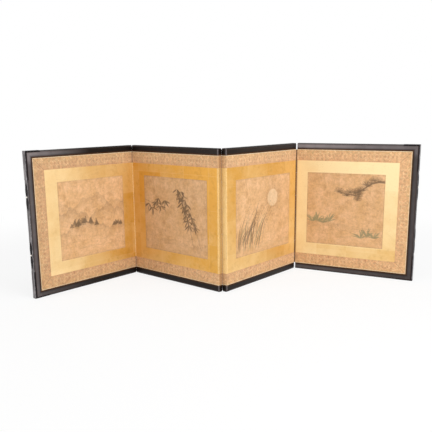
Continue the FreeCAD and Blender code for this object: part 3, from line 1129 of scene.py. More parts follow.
@dataclass(frozen=True)
class BackPaper(Finish):
    """Block-printed backing: overlapping rings in pale mica on a muted green ground.

    Attributes:
        ground, darker: the colours of the ground.
        mica: the colour of the print.
        pitch: half the step from one ring of a grid to the next.
        line: the width of a printed line.
        mottle, fibre, rubbed: the noises of the ground, the paper and the wear of the print.
        relief: the depth of the surface.
    """

    name: ClassVar[str] = "back_paper"
    ground: Colour = tint("5d6650")
    darker: Colour = tint("474f40")
    mica: Colour = tint("a6a585")
    pitch: float = 0.024
    line: float = 0.0009
    mottle: Grain = Grain(0.03, 5.0)
    fibre: Grain = Grain(0.001, 4.0, stretch=(0.4, 1.0, 1.0))
    rubbed: Grain = Grain(0.008, 4.0)
    relief: float = 0.00012

    def surface(self, shader: PanelShader) -> dict[str, object]:
        """Work out the printed paper.

        Rings of radius pitch / sqrt(2) stand on a square grid and, moved half a step both
        ways, on a second one, so that each ring crosses its neighbours.

        Args:
            shader: the material under construction.

        Returns:
            A value for each socket of the surface.
        """
        mottle, fibre, rubbed = shader.noises(self.mottle, self.fibre, self.rubbed)
        height, radius, step = shader.height, self.pitch / math.sqrt(2), 2 * self.pitch
        lines = reduce(Value.most, [
            abs((shader.x + shift + skew).wrapped(step).distance((height + shift).wrapped(step))
                - radius).ramp(self.line, self.line * 0.4)
            for shift in (0.0, self.pitch / 2) for skew in (0.0, self.pitch)])
        colour = shader.layered(self.ground, (mottle, self.darker),
                                (lines * rubbed.ramp(0.30, 0.5) * 0.75, self.mica))
        return {"Base Color": shader.toned(colour, 0.92 + fibre * 0.16),
                "Roughness": 0.78 - lines * 0.25,
                "Normal": shader.bump(fibre * 0.7 + lines * 0.3, self.relief)}


@dataclass(frozen=True)
class PaintedSilk(Finish):
    """Aged silk that has browned, with the pigments of a picture on it.

    Attributes:
        attribute: the name under which the mesh keeps the pigments.
        silk, rosy, browned: the colours of the silk.
        ink, green, white: the colours of the pigments.
        cloud, stain, foxing, flecks: the noises of its ageing.
        weft, warp: those of its threads.
        level, upright: those of the streaks left by the paste.
        dry: that of the dry brush.
        relief: the depth of its threads.
    """

    name: ClassVar[str] = "painted_silk"
    attribute: ClassVar[str] = "pigment"
    silk: Colour = tint("d3a570")
    rosy: Colour = tint("e6ba8c")
    browned: Colour = tint("ae7f4e")
    ink: Colour = tint("3d3024")
    green: Colour = tint("7d7f5b")
    white: Colour = tint("e6cfac")
    cloud: Grain = Grain(0.055, 5.0, 0.65)
    stain: Grain = Grain(0.016, 4.0, 0.65)
    foxing: Grain = Grain(0.0050, 2.0)
    flecks: Grain = Grain(0.0064, 4.0, 0.75)
    weft: Grain = Grain(0.0011, stretch=(0.22, 1.0, 1.0))
    warp: Grain = Grain(0.0011, stretch=(1.0, 1.0, 0.22))
    level: Grain = Grain(0.006, stretch=(0.3, 1.0, 1.0))
    upright: Grain = Grain(0.006, stretch=(1.0, 1.0, 0.3))
    dry: Grain = Grain(0.0016)
    relief: float = 0.0001

    def surface(self, shader: PanelShader) -> dict[str, object]:
        """Work out one picture's silk: the pigments come from its mesh.

        Args:
            shader: the material under construction.

        Returns:
            A value for each socket of the surface.
        """
        paint = shader.node("ShaderNodeAttribute", {"attribute_name": self.attribute}, None,
                            "Vector")
        ink, green, white = shader.split(paint)
        cloud, stain, foxing, flecks = shader.noises(self.cloud, self.stain, self.foxing,
                                                     self.flecks)
        weft, warp, level, upright = shader.noises(self.weft, self.warp, self.level,
                                                   self.upright)
        broken = shader.noise(self.dry).ramp(0.25, 0.55)
        colour = shader.layered(
            self.silk, (cloud.ramp(0.30, 0.70), self.rosy),
            (stain.ramp(0.42, 0.75) * 0.42, self.browned),
            ((level + upright).ramp(0.95, 1.35) * 0.3, self.browned),
            (foxing.ramp(0.64, 0.74) * 0.45, self.browned))
        light = 0.54 + weft * 0.16 + warp * 0.16 + flecks * 0.60
        # Painted light: each panel's silk is made lighter or darker for the light that falls on it.
        colour = shader.layered(
            shader.toned(colour, light * shader.panel.silk_lighting),
            (white * 0.7 * broken, self.white), (green * (0.45 + broken * 0.4), self.green),
            (ink * (0.58 + broken * 0.26), self.ink))
        return {"Base Color": colour, "Roughness": 0.74,
                "Normal": shader.bump(weft * 0.5 + warp * 0.5, self.relief)}


@dataclass(frozen=True)
class WornMetal(Finish):
    """Metal with a mottled skin that is rubbed bright in places.

    Attributes:
        name: its name.
        skin: the colour of its skin.
        rubbed: its colour where the skin has gone.
        rubbed_share: how much of the skin has gone.
        roughness: its least roughness.
        metallic: how metallic it is.
        side_wear: how far the skin on the screen's outer sides is scratched away.
        outer_side: where those sides begin, outside the papered face.
        mottle, pits: the noises of its skin.
        relief: the depth of the surface.
    """

    name: str
    skin: Colour
    rubbed: Colour
    rubbed_share: float
    roughness: float
    metallic: float = 1.0
    side_wear: float = 0.0
    outer_side: Pair = (0.0215, 0.0222)
    mottle: Grain = Grain(0.006, 4.0)
    pits: Grain = Grain(0.0012)
    relief: float = 0.00015

    def surface(self, shader: PanelShader) -> dict[str, object]:
        """Work out the metal.

        Args:
            shader: the material under construction.

        Returns:
            A value for each socket of the surface.
        """
        mottle, pits = shader.noises(self.mottle, self.pits)
        kept = 0.75 - self.rubbed_share * 0.5
        bright = (mottle * 0.6 + pits * 0.4).ramp(kept, kept + 0.10)
        outer_side = (abs(shader.x) - FACE.half_width).ramp(*self.outer_side)
        scratched = SCRATCHES.amount(shader) * outer_side * self.side_wear
        colour = shader.layered(self.skin, (bright, self.rubbed),
                                (scratched.least(1.0), SCRATCHES.bare))
        return {"Base Color": colour, "Metallic": self.metallic,
                "Roughness": self.roughness + mottle * 0.18 - bright * 0.1,
                "Normal": shader.bump(pits * 0.6 + mottle * 0.4, self.relief)}


LACQUER = BlackLacquer()
GOLD = GoldLeaf()
BROCADE = Brocade()
FOLD_PAPER = FoldPaper()
BACK_PAPER = BackPaper()
PAINTED_SILK = PaintedSilk()
LAYERED_PAPER = Fibrous("layered_paper", tint("d9bd8c"), tint("9c7443"),
                        Grain(0.002, stretch=(0.1, 4.0, 0.1)), Grain(0.0015, 4.0), 0.85)
CEDAR = Fibrous("cedar", tint("c79a66"), tint("8f5f34"),
                Grain(0.004, 4.0, stretch=(1.0, 1.0, 0.05)),
                Grain(0.0008, stretch=(1.0, 1.0, 0.02)), 0.65, (0.35, 0.65))
DARK_METAL = WornMetal("dark_metal", tint("171315"), tint("44362e"), 0.15, 0.36, 0.85)
CORNER_METAL = WornMetal("corner_metal", tint("1d191b"), tint("54443a"), 0.2, 0.36, 0.85, 0.8)
BRIGHT_METAL = WornMetal("bright_metal", tint("c4bdb0"), tint("e9e4da"), 0.6, 0.25)
IRON = WornMetal("forged_iron", tint("4a4543"), tint("7a726c"), 0.4, 0.5)


# Picture leaves


@dataclass(frozen=True)
class Ridge:
    """A range of hills or a bank, dark along its ridge and lost in mist below it.

    Attributes:
        height: the ridge's middle height.
        rise: the size of its waves.
        waves: the (length, share) of each wave.
        strength: how dark the ridge is.
        fade: how far down the wash reaches.
        pigment: its pigment.
        soft: how wide the edge of the ridge is.
    """

    height: float
    rise: float
    waves: tuple[Pair, ...]
    strength: float
    fade: float
    pigment: Pigment = Pigment.INK
    soft: float = 0.0015


HILL_RANGES = (Ridge(0.186, 0.016, ((0.19, 1.0), (0.07, 0.45), (0.03, 0.15)), 0.22, 0.026),
               Ridge(0.150, 0.014, ((0.15, 1.0), (0.05, 0.5), (0.022, 0.2)), 0.30, 0.020),
               Ridge(0.098, 0.011, ((0.24, 1.0), (0.06, 0.4), (0.02, 0.2)), 0.28, 0.018))
BAMBOO_BANK = Ridge(0.040, 0.006, ((0.2, 1.0), (0.05, 0.4)), 0.14, 0.014)
GRASS_BANK = Ridge(0.026, 0.004, ((0.12, 1.0), (0.04, 0.4)), 0.20, 0.010, Pigment.GREEN)

# Pines on the hills: the shares of the width they stand between, their number, their heights.
PINE_GROUPS = (((0.16, 0.56), 22, (0.014, 0.030)), ((0.80, 0.94), 7, (0.010, 0.018)))
# Bamboo stems: the share of the width where each starts, its lean, its bend and its width.
BAMBOO_STEMS = ((0.80, -0.20, -0.35, 0.0034), (0.92, -0.32, -0.25, 0.0026))
# Places on a picture, as shares of its width and height.
BAMBOO_CLUSTERS = ((0.20, 0.66), (0.27, 0.61), (0.13, 0.58), (0.34, 0.69), (0.24, 0.71),
                   (0.08, 0.63))
MOON = (0.66, 0.70)
MOON_RADIUS = 0.030
STREAM_TUFTS = ((0.08, 0.31), (0.15, 0.33), (0.22, 0.30), (0.30, 0.32), (0.72, 0.12),
                (0.80, 0.14), (0.88, 0.13))


class PaintGrid:
    """The pigments of one picture, worked out at every point of a grid.

    Attributes:
        width, height: the size of the picture.
        across: the distance of each point from the picture's left edge.
        up: its height over the picture's bottom edge.
        layers: the amount of each pigment at each point, from 0 to 1.
        random: the random numbers of this picture.
        soaked: how dark its edges are.
        soaked_reach: how far in from them that goes.
        least_square: the square of the shortest run of a line, which is divided by.
    """

    soaked: ClassVar[float] = 0.30
    soaked_reach: ClassVar[float] = 0.0022
    least_square: ClassVar[float] = 1e-12

    def __init__(self, width: float, height: float, pitch: float, seed: int) -> None:
        """Lay out an unpainted grid.

        Args:
            width: the picture's width.
            height: its height.
            pitch: the distance between two points.
            seed: the start of the random numbers of this picture.
        """
        columns, rows = round(width / pitch) + 1, round(height / pitch) + 1
        self.width, self.height = width, height
        self.across, self.up = np.meshgrid(np.linspace(0, width, columns),
                                           np.linspace(0, height, rows))
        self.layers = {pigment: np.zeros((rows, columns)) for pigment in Pigment}
        self.random = np.random.default_rng(seed)

    @property
    def from_edge(self) -> np.ndarray:
        """The distance of each point from the nearest edge of the picture."""
        return np.minimum.reduce([self.across, self.width - self.across,
                                  self.up, self.height - self.up])

    def paint(self, subject: Subject) -> None:
        """Paint a whole picture.

        Its edges are dark where paste and dirt have soaked in: exp(-distance / reach).

        Args:
            subject: what it shows.
        """
        painters = {Subject.HILLS: self._hills, Subject.BAMBOO: self._bamboo,
                    Subject.MOONLIT_GRASS: self._moonlit_grass,
                    Subject.PINE_AND_STREAM: self._pine_and_stream}
        painters[subject]()
        self._lay(Pigment.INK, self.soaked * np.exp(-self.from_edge / self.soaked_reach))

    def _lay(self, pigment: Pigment, amount: np.ndarray,
             window: tuple[slice, slice] = (slice(None), slice(None))) -> None:
        """Lay a wash over what is there: 1 - (1 - old)(1 - new).

        Args:
            pigment: its pigment.
            amount: how much of it each point gets.
            window: the rows and columns that it covers.
        """
        layer = self.layers[pigment]
        layer[window] = 1 - (1 - layer[window]) * (1 - np.clip(amount, 0, 1))

    def _stroke(self, line: ArrayLike, widths: ArrayLike, strength: float,
                soft: float = 0.0012, pigment: Pigment = Pigment.INK) -> None:
        """Draw a brush stroke.

        The amount at a point falls from the strength to nothing over the soft edge, where
        the distance from the nearest run of the line passes half the stroke's width there.

        Args:
            line: its centre line, one (across, up) pair a row.
            widths: its width at each of those points, or one for all.
            strength: how dark it is.
            soft: how wide its edge is.
            pigment: its pigment.
        """
        line = np.asarray(line, float)
        widths = np.broadcast_to(np.asarray(widths, float), len(line))
        reach = widths.max() + soft
        low, high = line.min(axis=0) - reach, line.max(axis=0) + reach
        columns = slice(*np.searchsorted(self.across[0], (low[0], high[0])))
        rows = slice(*np.searchsorted(self.up[:, 0], (low[1], high[1])))
        points = np.stack([self.across[rows, columns], self.up[rows, columns]], axis=-1)
        if points.size == 0:
            return
        start, run = line[:-1], np.diff(line, axis=0)
        square = np.maximum((run ** 2).sum(axis=1), self.least_square)
        offset = points[..., None, :] - start
        share = np.clip((offset * run).sum(axis=-1) / square, 0, 1)
        distance = np.linalg.norm(offset - share[..., None] * run, axis=-1)
        half = (widths[:-1] + share * np.diff(widths)) / 2
        amount = np.clip((half - distance) / soft + 0.5, 0, 1).max(axis=-1)
        self._lay(pigment, amount * strength, (rows, columns))

    def _blade(self, foot: ArrayLike, length: float, lean: float, bend: float, width: float,
               strength: float, pigment: Pigment = Pigment.INK) -> np.ndarray:
        """Draw a blade that bends as it rises and ends in a point.

        Args:
            foot: where it starts.
            length: its length.
            lean: its angle at the foot, from upright, in radians.
            bend: how much further it has turned at its tip.
            width: its width at the widest.
            strength: how dark it is.
            pigment: its pigment.

        Returns:
            Its centre line.
        """
        share = np.linspace(0, 1, 14)
        angle = lean + bend * share ** 1.4
        runs = np.stack([np.sin(angle), np.cos(angle)], axis=1)
        line = foot + np.cumsum(runs, axis=0) * (length / (len(share) - 1))
        taper = width * np.sin(np.pi * np.clip(share * 0.94 + 0.06, 0, 1)) ** 0.7
        self._stroke(line, taper, strength, 0.0009, pigment)
        return line

    def _ridge(self, ridge: Ridge) -> np.ndarray:
        """Wash in a range of hills.

        The ridge is height + rise * sum of share * sin(2 pi across / length + phase), and the
        amount falls as exp(-depth / fade) below it.

        Args:
            ridge: the range.

        Returns:
            The ridge's height at each column.
        """
        across = self.across[0]
        crest = np.full_like(across, ridge.height)
        for length, share in ridge.waves:
            phase = self.random.uniform(0, 2 * np.pi)
            crest += ridge.rise * share * np.sin(2 * np.pi * across / length + phase)
        depth = crest[None, :] - self.up
        wash = np.where(depth > 0, np.exp(-np.maximum(depth, 0) / ridge.fade), 0)
        edge = np.clip(depth / ridge.soft, 0, 1)
        self._lay(ridge.pigment, wash * edge * ridge.strength)
        return crest

    def _hills(self) -> None:
        """Paint three ranges of hills in mist, with pines on the nearest spur, over water."""
        uniform = self.random.uniform
        for ridge in HILL_RANGES:
            crest = self._ridge(ridge)
        for spread, count, heights in PINE_GROUPS:
            for share in uniform(*spread, count):
                self._pine(share * self.width, crest, uniform(*heights))
        for level in uniform(0.02, 0.075, 9):
            self._ripple(level, uniform(0.1, 0.9))

    def _pine(self, across: float, crest: np.ndarray, tall: float) -> None:
        """Paint a small pine: a trunk and short level strokes that widen downwards.

        Args:
            across: where it stands.
            crest: the height of its ridge at each column.
            tall: its height.
        """
        base = np.interp(across, self.across[0], crest) - 0.004
        self._stroke([(across, base), (across + 0.001, base + tall)], 0.0011, 0.7)
        for share in np.linspace(0.35, 1.0, 5):
            reach, level = 0.0095 * (1.15 - share), base + tall * share
            drift = self.random.uniform(-0.001, 0.001)
            self._stroke([(across - reach + drift, level - 0.001), (across, level),
                          (across + reach + drift, level - 0.001)], 0.0028, 0.7)

    def _ripple(self, level: float, middle: float) -> None:
        """Paint a long flat stroke of still water.

        Args:
            level: its height.
            middle: where its middle is, as a share of the width.
        """
        reach = self.random.uniform(0.02, 0.055)
        share = np.linspace(-1, 1, 12)
        line = np.stack([middle * self.width + reach * share,
                         level + 0.0012 * np.sin(share * 4 + level * 900)], axis=1)
        self._stroke(line, 0.0016 * (1.05 - np.abs(share)), 0.16, 0.0015)

    def _bamboo(self) -> None:
        """Paint two slender stems that lean in from the right, with clusters of leaves."""
        for foot, lean, bend, width in BAMBOO_STEMS:
            stem = self._blade((foot * self.width, 0.01), 0.205, lean, bend, width, 0.42)
            for point in stem[2::3]:
                self._stroke(point + [(-0.0028, 0.0), (0.0028, 0.0006)], 0.0012, 0.75)
            for point in stem[5:]:
                self._leaves(point, 5, 0.95)
        for spot in BAMBOO_CLUSTERS:
            self._leaves(np.multiply(spot, (self.width, self.height)), 7, 0.9)
        self._stroke([(0.0, 0.172), (0.05, 0.158), (0.112, 0.168)], 0.0018, 0.5)
        self._ridge(BAMBOO_BANK)

    def _leaves(self, point: np.ndarray, count: int, strength: float) -> None:
        """Paint a cluster of pointed leaves.

        Args:
            point: the point that they hang from.
            count: their number.
            strength: how dark the darkest can be.
        """
        uniform = self.random.uniform
        for lean in uniform(math.pi - 1.35, math.pi + 1.35, count):
            self._blade(point, uniform(0.016, 0.030), lean, uniform(-0.2, 0.2),
                        uniform(0.0034, 0.0052), strength * uniform(0.6, 1.0))

    def _moonlit_grass(self) -> None:
        """Paint a low moon behind autumn grass with seed heads."""
        uniform = self.random.uniform
        outside = np.hypot(self.across - MOON[0] * self.width,
                           self.up - MOON[1] * self.height) - MOON_RADIUS
        self._lay(Pigment.WHITE, np.clip(-outside / 0.0015, 0, 1) * 0.75)
        halo = np.where(outside > 0, np.exp(-outside / 0.016), 0)
        self._lay(Pigment.INK, halo * 0.20)
        for share in uniform(0.02, 0.42, 34):
            lean = uniform(-0.15, 0.5)
            pigment = Pigment.GREEN if self.random.random() < 0.45 else Pigment.INK
            self._blade((share * self.width, uniform(0.0, 0.03)), uniform(0.05, 0.14), lean,
                        uniform(0.2, 0.9), uniform(0.0022, 0.0042), uniform(0.5, 0.9), pigment)
        for share in uniform(0.05, 0.5, 9):
            stalk = self._blade((share * self.width, 0.015), uniform(0.11, 0.17), 0.12,
                                uniform(0.3, 0.8), 0.0013, 0.5)
            for point in stalk[8:]:
                self._stroke(point + [(0.0, 0.0), (0.003, -0.0016)], 0.0017, 0.65)
        self._ridge(GRASS_BANK)

    def _pine_and_stream(self) -> None:
        """Paint a pine bough that reaches in from the top right, over a winding stream."""
        uniform = self.random.uniform
        share = np.linspace(0, 1, 18)
        bough = np.stack([self.width * (1.0 - 0.56 * share),
                          self.height * (0.90 - 0.20 * share + 0.035 * np.sin(share * 7))],
                         axis=1)
        self._stroke(bough, 0.0075 * (1.05 - share), 0.8)
        for point in bough[3:]:
            self._needles(point + uniform(-0.007, 0.007, 2), 0.017)
        twig = bough[9] + np.outer(np.linspace(0, 1, 6), (-0.012, -0.034))
        self._stroke(twig, 0.0016, 0.6)
        for point in twig[2:]:
            self._needles(point, 0.014)
        for index in range(5):
            wave = 0.016 * np.sin(share * 5.2 + 0.3) * (1 - 0.12 * index)
            line = np.stack([self.width * share, 0.052 + 0.0052 * index + wave], axis=1)
            self._stroke(line, 0.0011, 0.34)
        for spot in STREAM_TUFTS:
            for lean in uniform(-1.2, 1.2, 12):
                self._blade(np.multiply(spot, (self.width, self.height)), uniform(0.016, 0.034),
                            lean, 0.4 * np.sign(lean), 0.0036, 0.8, Pigment.GREEN)

    def _needles(self, point: np.ndarray, length: float) -> None:
        """Paint a fan of pine needles.

        Args:
            point: where they start.
            length: their length.
        """
        for lean in np.linspace(-1.5, 1.5, 13) + self.random.uniform(-0.06, 0.06, 13):
            tip = point + length * np.array((math.sin(lean), math.cos(lean)))
            self._stroke([point, tip], 0.0012, 0.75, 0.0008)


@dataclass(frozen=True)
class PictureLeaf:
    """A painted leaf of silk, pasted into the opening of a panel's gold border.

    Attributes:
        panel: the panel that it is on.
        pitch: the distance between two points of its surface.
        buckle: how far the pasted silk stands up in places.
        held: how far in from its edges it comes to stand up fully.
        level_waves: the wave numbers of its first wave, across and up.
        slanted_waves: those of its second.
    """

    panel: Panel
    pitch: float = 0.00125
    buckle: float = 0.00012
    held: float = 0.01
    level_waves: Pair = (61.0, 47.0)
    slanted_waves: Pair = (23.0, 83.0)

    def build(self) -> bpy.types.Object:
        """Build the leaf: its painted front, a wall round it and a flat face behind.

        The front is a grid of points (left + across, front - rise, bottom + up).

        Returns:
            The finished piece.
        """
        number, node = self.panel.number, f"{self.panel.body}_picture"
        low, high = self.panel.limits(node)
        paint = PaintGrid(high[0] - low[0], high[2] - low[2], self.pitch, number)
        paint.paint(Subject(number))
        front = np.stack([low[0] + paint.across, low[1] - self._rise(paint),
                          low[2] + paint.up], axis=-1).reshape(-1, 3)
        index = np.arange(len(front)).reshape(paint.across.shape)
        quads = np.stack([index[:-1, :-1], index[:-1, 1:], index[1:, 1:], index[1:, :-1]],
                         axis=-1).reshape(-1, 4)
        rim = np.concatenate([index[0, :-1], index[:-1, -1], index[-1, :0:-1], index[:0:-1, 0]])
        back = front[rim] * (1, 0, 1) + (0, high[1], 0)
        behind = len(front) + np.arange(len(rim))
        walls = np.stack([rim, behind, np.roll(behind, -1), np.roll(rim, -1)], axis=1)
        piece = self.panel.piece(f"painted_leaf_{number}", np.concatenate([front, back]),
                                 [*quads.tolist(), *walls.tolist(), behind[::-1].tolist()],
                                 PAINTED_SILK.dress(self.panel))
        colours = np.ones((len(front) + len(rim), 4), np.float32)
        for pigment, layer in paint.layers.items():
            colours[:, pigment.value] = np.concatenate([layer.ravel(), layer.ravel()[rim]])
        attribute = piece.data.color_attributes.new(PAINTED_SILK.attribute, "FLOAT_COLOR",
                                                    "POINT")
        attribute.data.foreach_set("color", colours.ravel())
        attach(piece, self.panel.body)
        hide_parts(node)
        return piece

    def _rise(self, paint: PaintGrid) -> np.ndarray:
        """Work out how far the silk stands up: buckle * (0.5 + 0.5 * wave), and 0 at the edges.

        With a, b and c, d for the two pairs of wave numbers, the wave is
        (sin(a across + number) sin(b up) + 0.5 sin(c across + d up)) / 1.5.

        Args:
            paint: the grid of its picture.

        Returns:
            The rise at each point.
        """
        a, b = self.level_waves
        c, d = self.slanted_waves
        wave = (np.sin(paint.across * a + self.panel.number) * np.sin(paint.up * b)
                + 0.5 * np.sin(paint.across * c + paint.up * d)) / 1.5
        return self.buckle * (0.5 + 0.5 * wave) * np.clip(paint.from_edge / self.held, 0, 1)


# Paper hinges


@dataclass(frozen=True)
class FoldRolls:
    """Thin upright rolls that close the slits of a fold, about the lines that it turns about.

    Rolled creases stand at both edges of every hinge leaf. Where the rails meet closely, a
    black bead stands between them too, at the pivot that the fold as it stands turns about.

    Attributes:
        leaves: the CAD node of the leaves, which is the name of their body too.
        panel: the panel that they lie beside.
        radius: the radius of a roll.
        beyond_leaf: how far a pivot line is from the edge of a leaf.
        pitch: the height from one of the fold's leaves to the next.
        spacing: the part of it that is left open.
        sides: how many faces go round a roll.
    """

    leaves: str
    panel: Panel
    radius: float = 0.00014
    beyond_leaf: float = 0.00015
    pitch: float = 0.0822
    spacing: float = 0.0005
    sides: int = 10

    def creases(self, paper: bpy.types.Material) -> bpy.types.Object:
        """Build the creases of the leaves, at both pivot lines.

        Args:
            paper: the finish of the leaves.

        Returns:
            The finished piece.
        """
        low, high = self.panel.limits(self.leaves)
        step = 2 * self.pitch
        foot = low[2] + step * np.arange(round((high[2] - low[2]) / step + 0.5))
        spans = np.stack([foot, foot + self.pitch - self.spacing], axis=1)
        piece = self._rolls("creases", tuple(Pivot), spans, paper)
        return piece

    def beads(self, pivot: Pivot, lacquer: bpy.types.Material) -> bpy.types.Object:
        """Build the beads between the flat parts of the two rails.

        Args:
            pivot: the line that they stand on.
            lacquer: the finish of the rails.

        Returns:
            The finished piece.
        """
        reach = FACE.rail_face - FACE.rail_bevel
        spans = np.array([(FACE.papered_bottom - reach, FACE.papered_bottom),
                          (FACE.papered_top, FACE.papered_top + reach)])
        piece = self._rolls("beads", (pivot,), spans, lacquer)
        return piece

    def _rolls(self, kind: str, pivots: tuple[Pivot, ...], spans: np.ndarray,
               finish: bpy.types.Material) -> bpy.types.Object:
        """Build circles (x + r cos, y + r sin) carried up from z0 to z1.

        Args:
            kind: the last word of the piece's name.
            pivots: the lines that the rolls stand on.
            spans: the z0 and z1 of each roll on a line.
            finish: their finish.

        Returns:
            The piece, which rides on the leaves.
        """
        low, high = self.panel.limits(self.leaves)
        depths = {Pivot.FRONT: low[1] - self.beyond_leaf, Pivot.BACK: high[1] + self.beyond_leaf}
        lines = np.array([depths[pivot] for pivot in pivots])
        turn = 2 * np.pi * np.arange(self.sides) / self.sides
        rolls = np.empty((len(lines), len(spans), 2, self.sides, 3))
        rolls[..., 0] = (low[0] + high[0]) / 2 + self.radius * np.cos(turn)
        rolls[..., 1] = lines[:, None, None, None] + self.radius * np.sin(turn)
        rolls[..., 2] = spans[None, :, :, None]
        index = np.arange(rolls.size // 3).reshape(-1, 2, self.sides)
        following = np.roll(index, -1, axis=2)
        walls = np.stack([index[:, 0], following[:, 0], following[:, 1], index[:, 1]], axis=-1)
        faces = [*walls.reshape(-1, 4).tolist(), *index[:, 0, ::-1].tolist(),
                 *index[:, 1].tolist()]
        piece = self.panel.piece(f"{self.leaves}_{kind}", rolls.reshape(-1, 3), faces, finish)
        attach(piece, self.leaves)
        return piece


# The carried-over nodes


@dataclass(frozen=True)
class PanelDress:
    """The finishes of every node of one panel.

    Attributes:
        panel: the panel.
    """

    panel: Panel

    def build(self) -> list[bpy.types.Object]:
        """Give each node of the panel its finish, and its folds their rolls.

        Returns:
            The nodes that were dressed, and the rolls.
        """
        panel, body = self.panel, self.panel.body
        lacquer, fold_paper = LACQUER.dress(panel), FOLD_PAPER.dress(panel)
        groups = [(lacquer, (f"{body}_top_rail", f"{body}_bottom_rail")),
                  (GOLD.dress(panel), (f"{body}_gold_border",)),
                  (BROCADE.dress(panel), (f"{body}_brocade",)),
                  (fold_paper, (f"{body}_hinge_paper", *panel.leaves)),
                  (LAYERED_PAPER.dress(panel), (f"{body}_under_paper",)),
                  (BACK_PAPER.dress(panel), (f"{body}_back_paper",)),
                  (CEDAR.dress(panel), (f"{body}_core_frame", f"{body}_core_lattice")),
                  (IRON.dress(panel), (f"{body}_nails",))]
        if panel.stile_end is not None:
            side = panel.stile_end.name.lower()
            groups += [(lacquer, (f"{side}_stile",)),
                       (CORNER_METAL.dress(panel), (f"{side}_top_corner", f"{side}_bottom_corner")),
                       (DARK_METAL.dress(panel), (f"{side}_side_plates",)),
                       (BRIGHT_METAL.dress(panel), (f"{side}_side_studs",))]
        pieces = []
        for material, nodes in groups:
            for node in nodes:
                piece = frame["nodes"][node]
                piece.data.materials.clear()
                piece.data.materials.append(material)
                pieces.append(piece)
        for leaves in panel.leaves:
            rolls = FoldRolls(leaves, panel)
            pieces.append(rolls.creases(fold_paper))
            if leaves in panel.beads:
                pieces.append(rolls.beads(panel.beads[leaves], lacquer))
        return pieces


# Studio


@dataclass(frozen=True)
class Softbox:
    """A square lamp that points at the screen.

    Attributes:
        name: its name.
        place: where it hangs.
        size: the length of its sides.
        watts: its power.
    """

    name: str
    place: Triple
    size: float
    watts: float


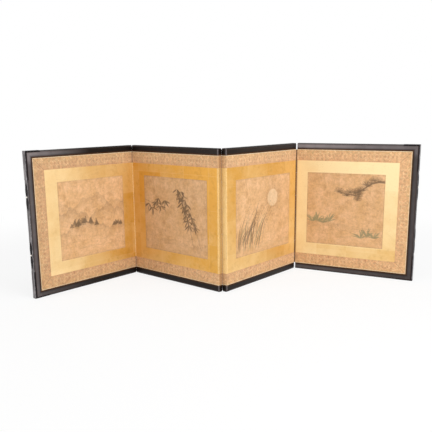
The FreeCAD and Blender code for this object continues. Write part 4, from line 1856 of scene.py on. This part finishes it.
@dataclass(frozen=True)
class Studio:
    """The camera, the pale floor and the plain light round the screen.

    Attributes:
        eye: where the camera stands.
        yaw, pitch, roll: its turn from straight ahead, in radians; pitch is downwards.
        focal_pixels: its focal length in pixels of the photograph.
        image_pixels: the width and height of that photograph.
        centre_below: how far below its middle the camera's axis meets it, in pixels.
        centre_right: how far right of its middle it does so.
        sensor_width: the width of the camera's sensor, in millimetres.
        softboxes: the lamps.
        aim: the point of the screen that they point at.
        surround: the brightness of the room around the screen.
        floor_reach: how far the floor goes each way.
        floor_grey: how much light the floor gives back.
        floor_glow: the share of the floor that shines white to the camera, near and far.
        floor_bounds: the distances at which that is still near and already far.
    """

    eye: Triple = (-0.0407, -2.0160, 0.5565)
    yaw: float = -0.002
    pitch: float = 0.220
    roll: float = -0.009
    focal_pixels: float = 611.0
    image_pixels: float = 432.0
    centre_below: float = 34.9
    centre_right: float = 0.9
    sensor_width: float = 36.0
    softboxes: tuple[Softbox, ...] = (
        Softbox("right_softbox", (1.9, -2.1, 1.5), 1.6, 44.0),
        Softbox("left_softbox", (-2.6, -0.9, 0.9), 1.2, 15.0),
        Softbox("top_softbox", (0.2, -0.9, 2.4), 1.8, 16.0),
    )
    aim: Triple = (0.0, 0.0, 0.2)
    surround: float = 0.60
    floor_reach: float = 30.0
    floor_grey: float = 0.86
    floor_glow: Pair = (0.80, 1.0)
    floor_bounds: Pair = (0.9, 1.8)

    def build(self) -> None:
        """Set up the camera, the floor, the lamps and the world."""
        self._camera()
        self._floor()
        for softbox in self.softboxes:
            self._lamp(softbox)
        self._world()
        bpy.context.scene.view_settings.view_transform = "Standard"

    def _camera(self) -> None:
        """Stand the camera at the photograph's viewpoint."""
        ahead = Vector((math.sin(self.yaw) * math.cos(self.pitch),
                        math.cos(self.yaw) * math.cos(self.pitch), -math.sin(self.pitch)))
        level = Vector((math.cos(self.yaw), -math.sin(self.yaw), 0.0))
        upright = level.cross(ahead)
        right = level * math.cos(self.roll) + upright * math.sin(self.roll)
        up = upright * math.cos(self.roll) - level * math.sin(self.roll)
        data = bpy.data.cameras.new("camera")
        data.sensor_width = self.sensor_width
        data.lens = self.focal_pixels / self.image_pixels * data.sensor_width
        data.shift_x = -self.centre_right / self.image_pixels
        data.shift_y = self.centre_below / self.image_pixels
        camera = placed("camera", data)
        turn = Matrix((right, up, -ahead)).transposed()
        camera.matrix_world = Matrix.Translation(self.eye) @ turn.to_4x4()
        bpy.context.scene.camera = camera

    def _floor(self) -> None:
        """Lay a wide plain floor that looks near white and keeps the screen's shadow."""
        reach = self.floor_reach
        mesh = bpy.data.meshes.new("floor")
        mesh.from_pydata([(-reach, -reach, 0), (reach, -reach, 0), (reach, reach, 0),
                          (-reach, reach, 0)], [], [(0, 1, 2, 3)])
        shader = Shader(bpy.data.materials.new("pale_floor"))
        x, y, _ = shader.split(shader.node("ShaderNodeTexCoord", output="Object"))
        near, far = self.floor_glow
        glowing = near + x.distance(y).ramp(*self.floor_bounds) * (far - near)
        grey = (self.floor_grey,) * 3 + (1.0,)
        shader.blend(shader.looked_at() * glowing,
                     shader.node("ShaderNodeBsdfDiffuse", None, {"Color": grey}),
                     shader.light("ShaderNodeEmission"), "ShaderNodeOutputMaterial")
        mesh.materials.append(shader.owner)
        placed("floor", mesh)

    def _lamp(self, softbox: Softbox) -> None:
        """Hang one softbox and point it at the middle of the screen.

        Args:
            softbox: the softbox.
        """
        data = bpy.data.lights.new(softbox.name, "AREA")
        data.shape = "SQUARE"
        data.size = softbox.size
        data.energy = softbox.watts
        toward = Vector(self.aim) - Vector(softbox.place)
        turn = toward.to_track_quat("-Z", "Y").to_matrix().to_4x4()
        placed(softbox.name, data).matrix_world = Matrix.Translation(softbox.place) @ turn

    def _world(self) -> None:
        """Put up a plain bright room, white where the camera or a reflection sees it."""
        world = bpy.data.worlds.new("studio")
        shader = Shader(world)
        shader.blend(shader.looked_at(), shader.light("ShaderNodeBackground", self.surround),
                     shader.light("ShaderNodeBackground"), "ShaderNodeOutputWorld")
        bpy.context.scene.world = world


def main() -> None:
    """Build the studio and the screen."""
    logging.basicConfig(level=logging.INFO, format="%(name)s: %(message)s")
    Studio().build()
    for panel in PANELS:
        for piece in (*PanelDress(panel).build(), PictureLeaf(panel).build()):
            LOG.info("%s: %d points", piece.name, len(piece.data.vertices))


if __name__ == "__main__":
    main()
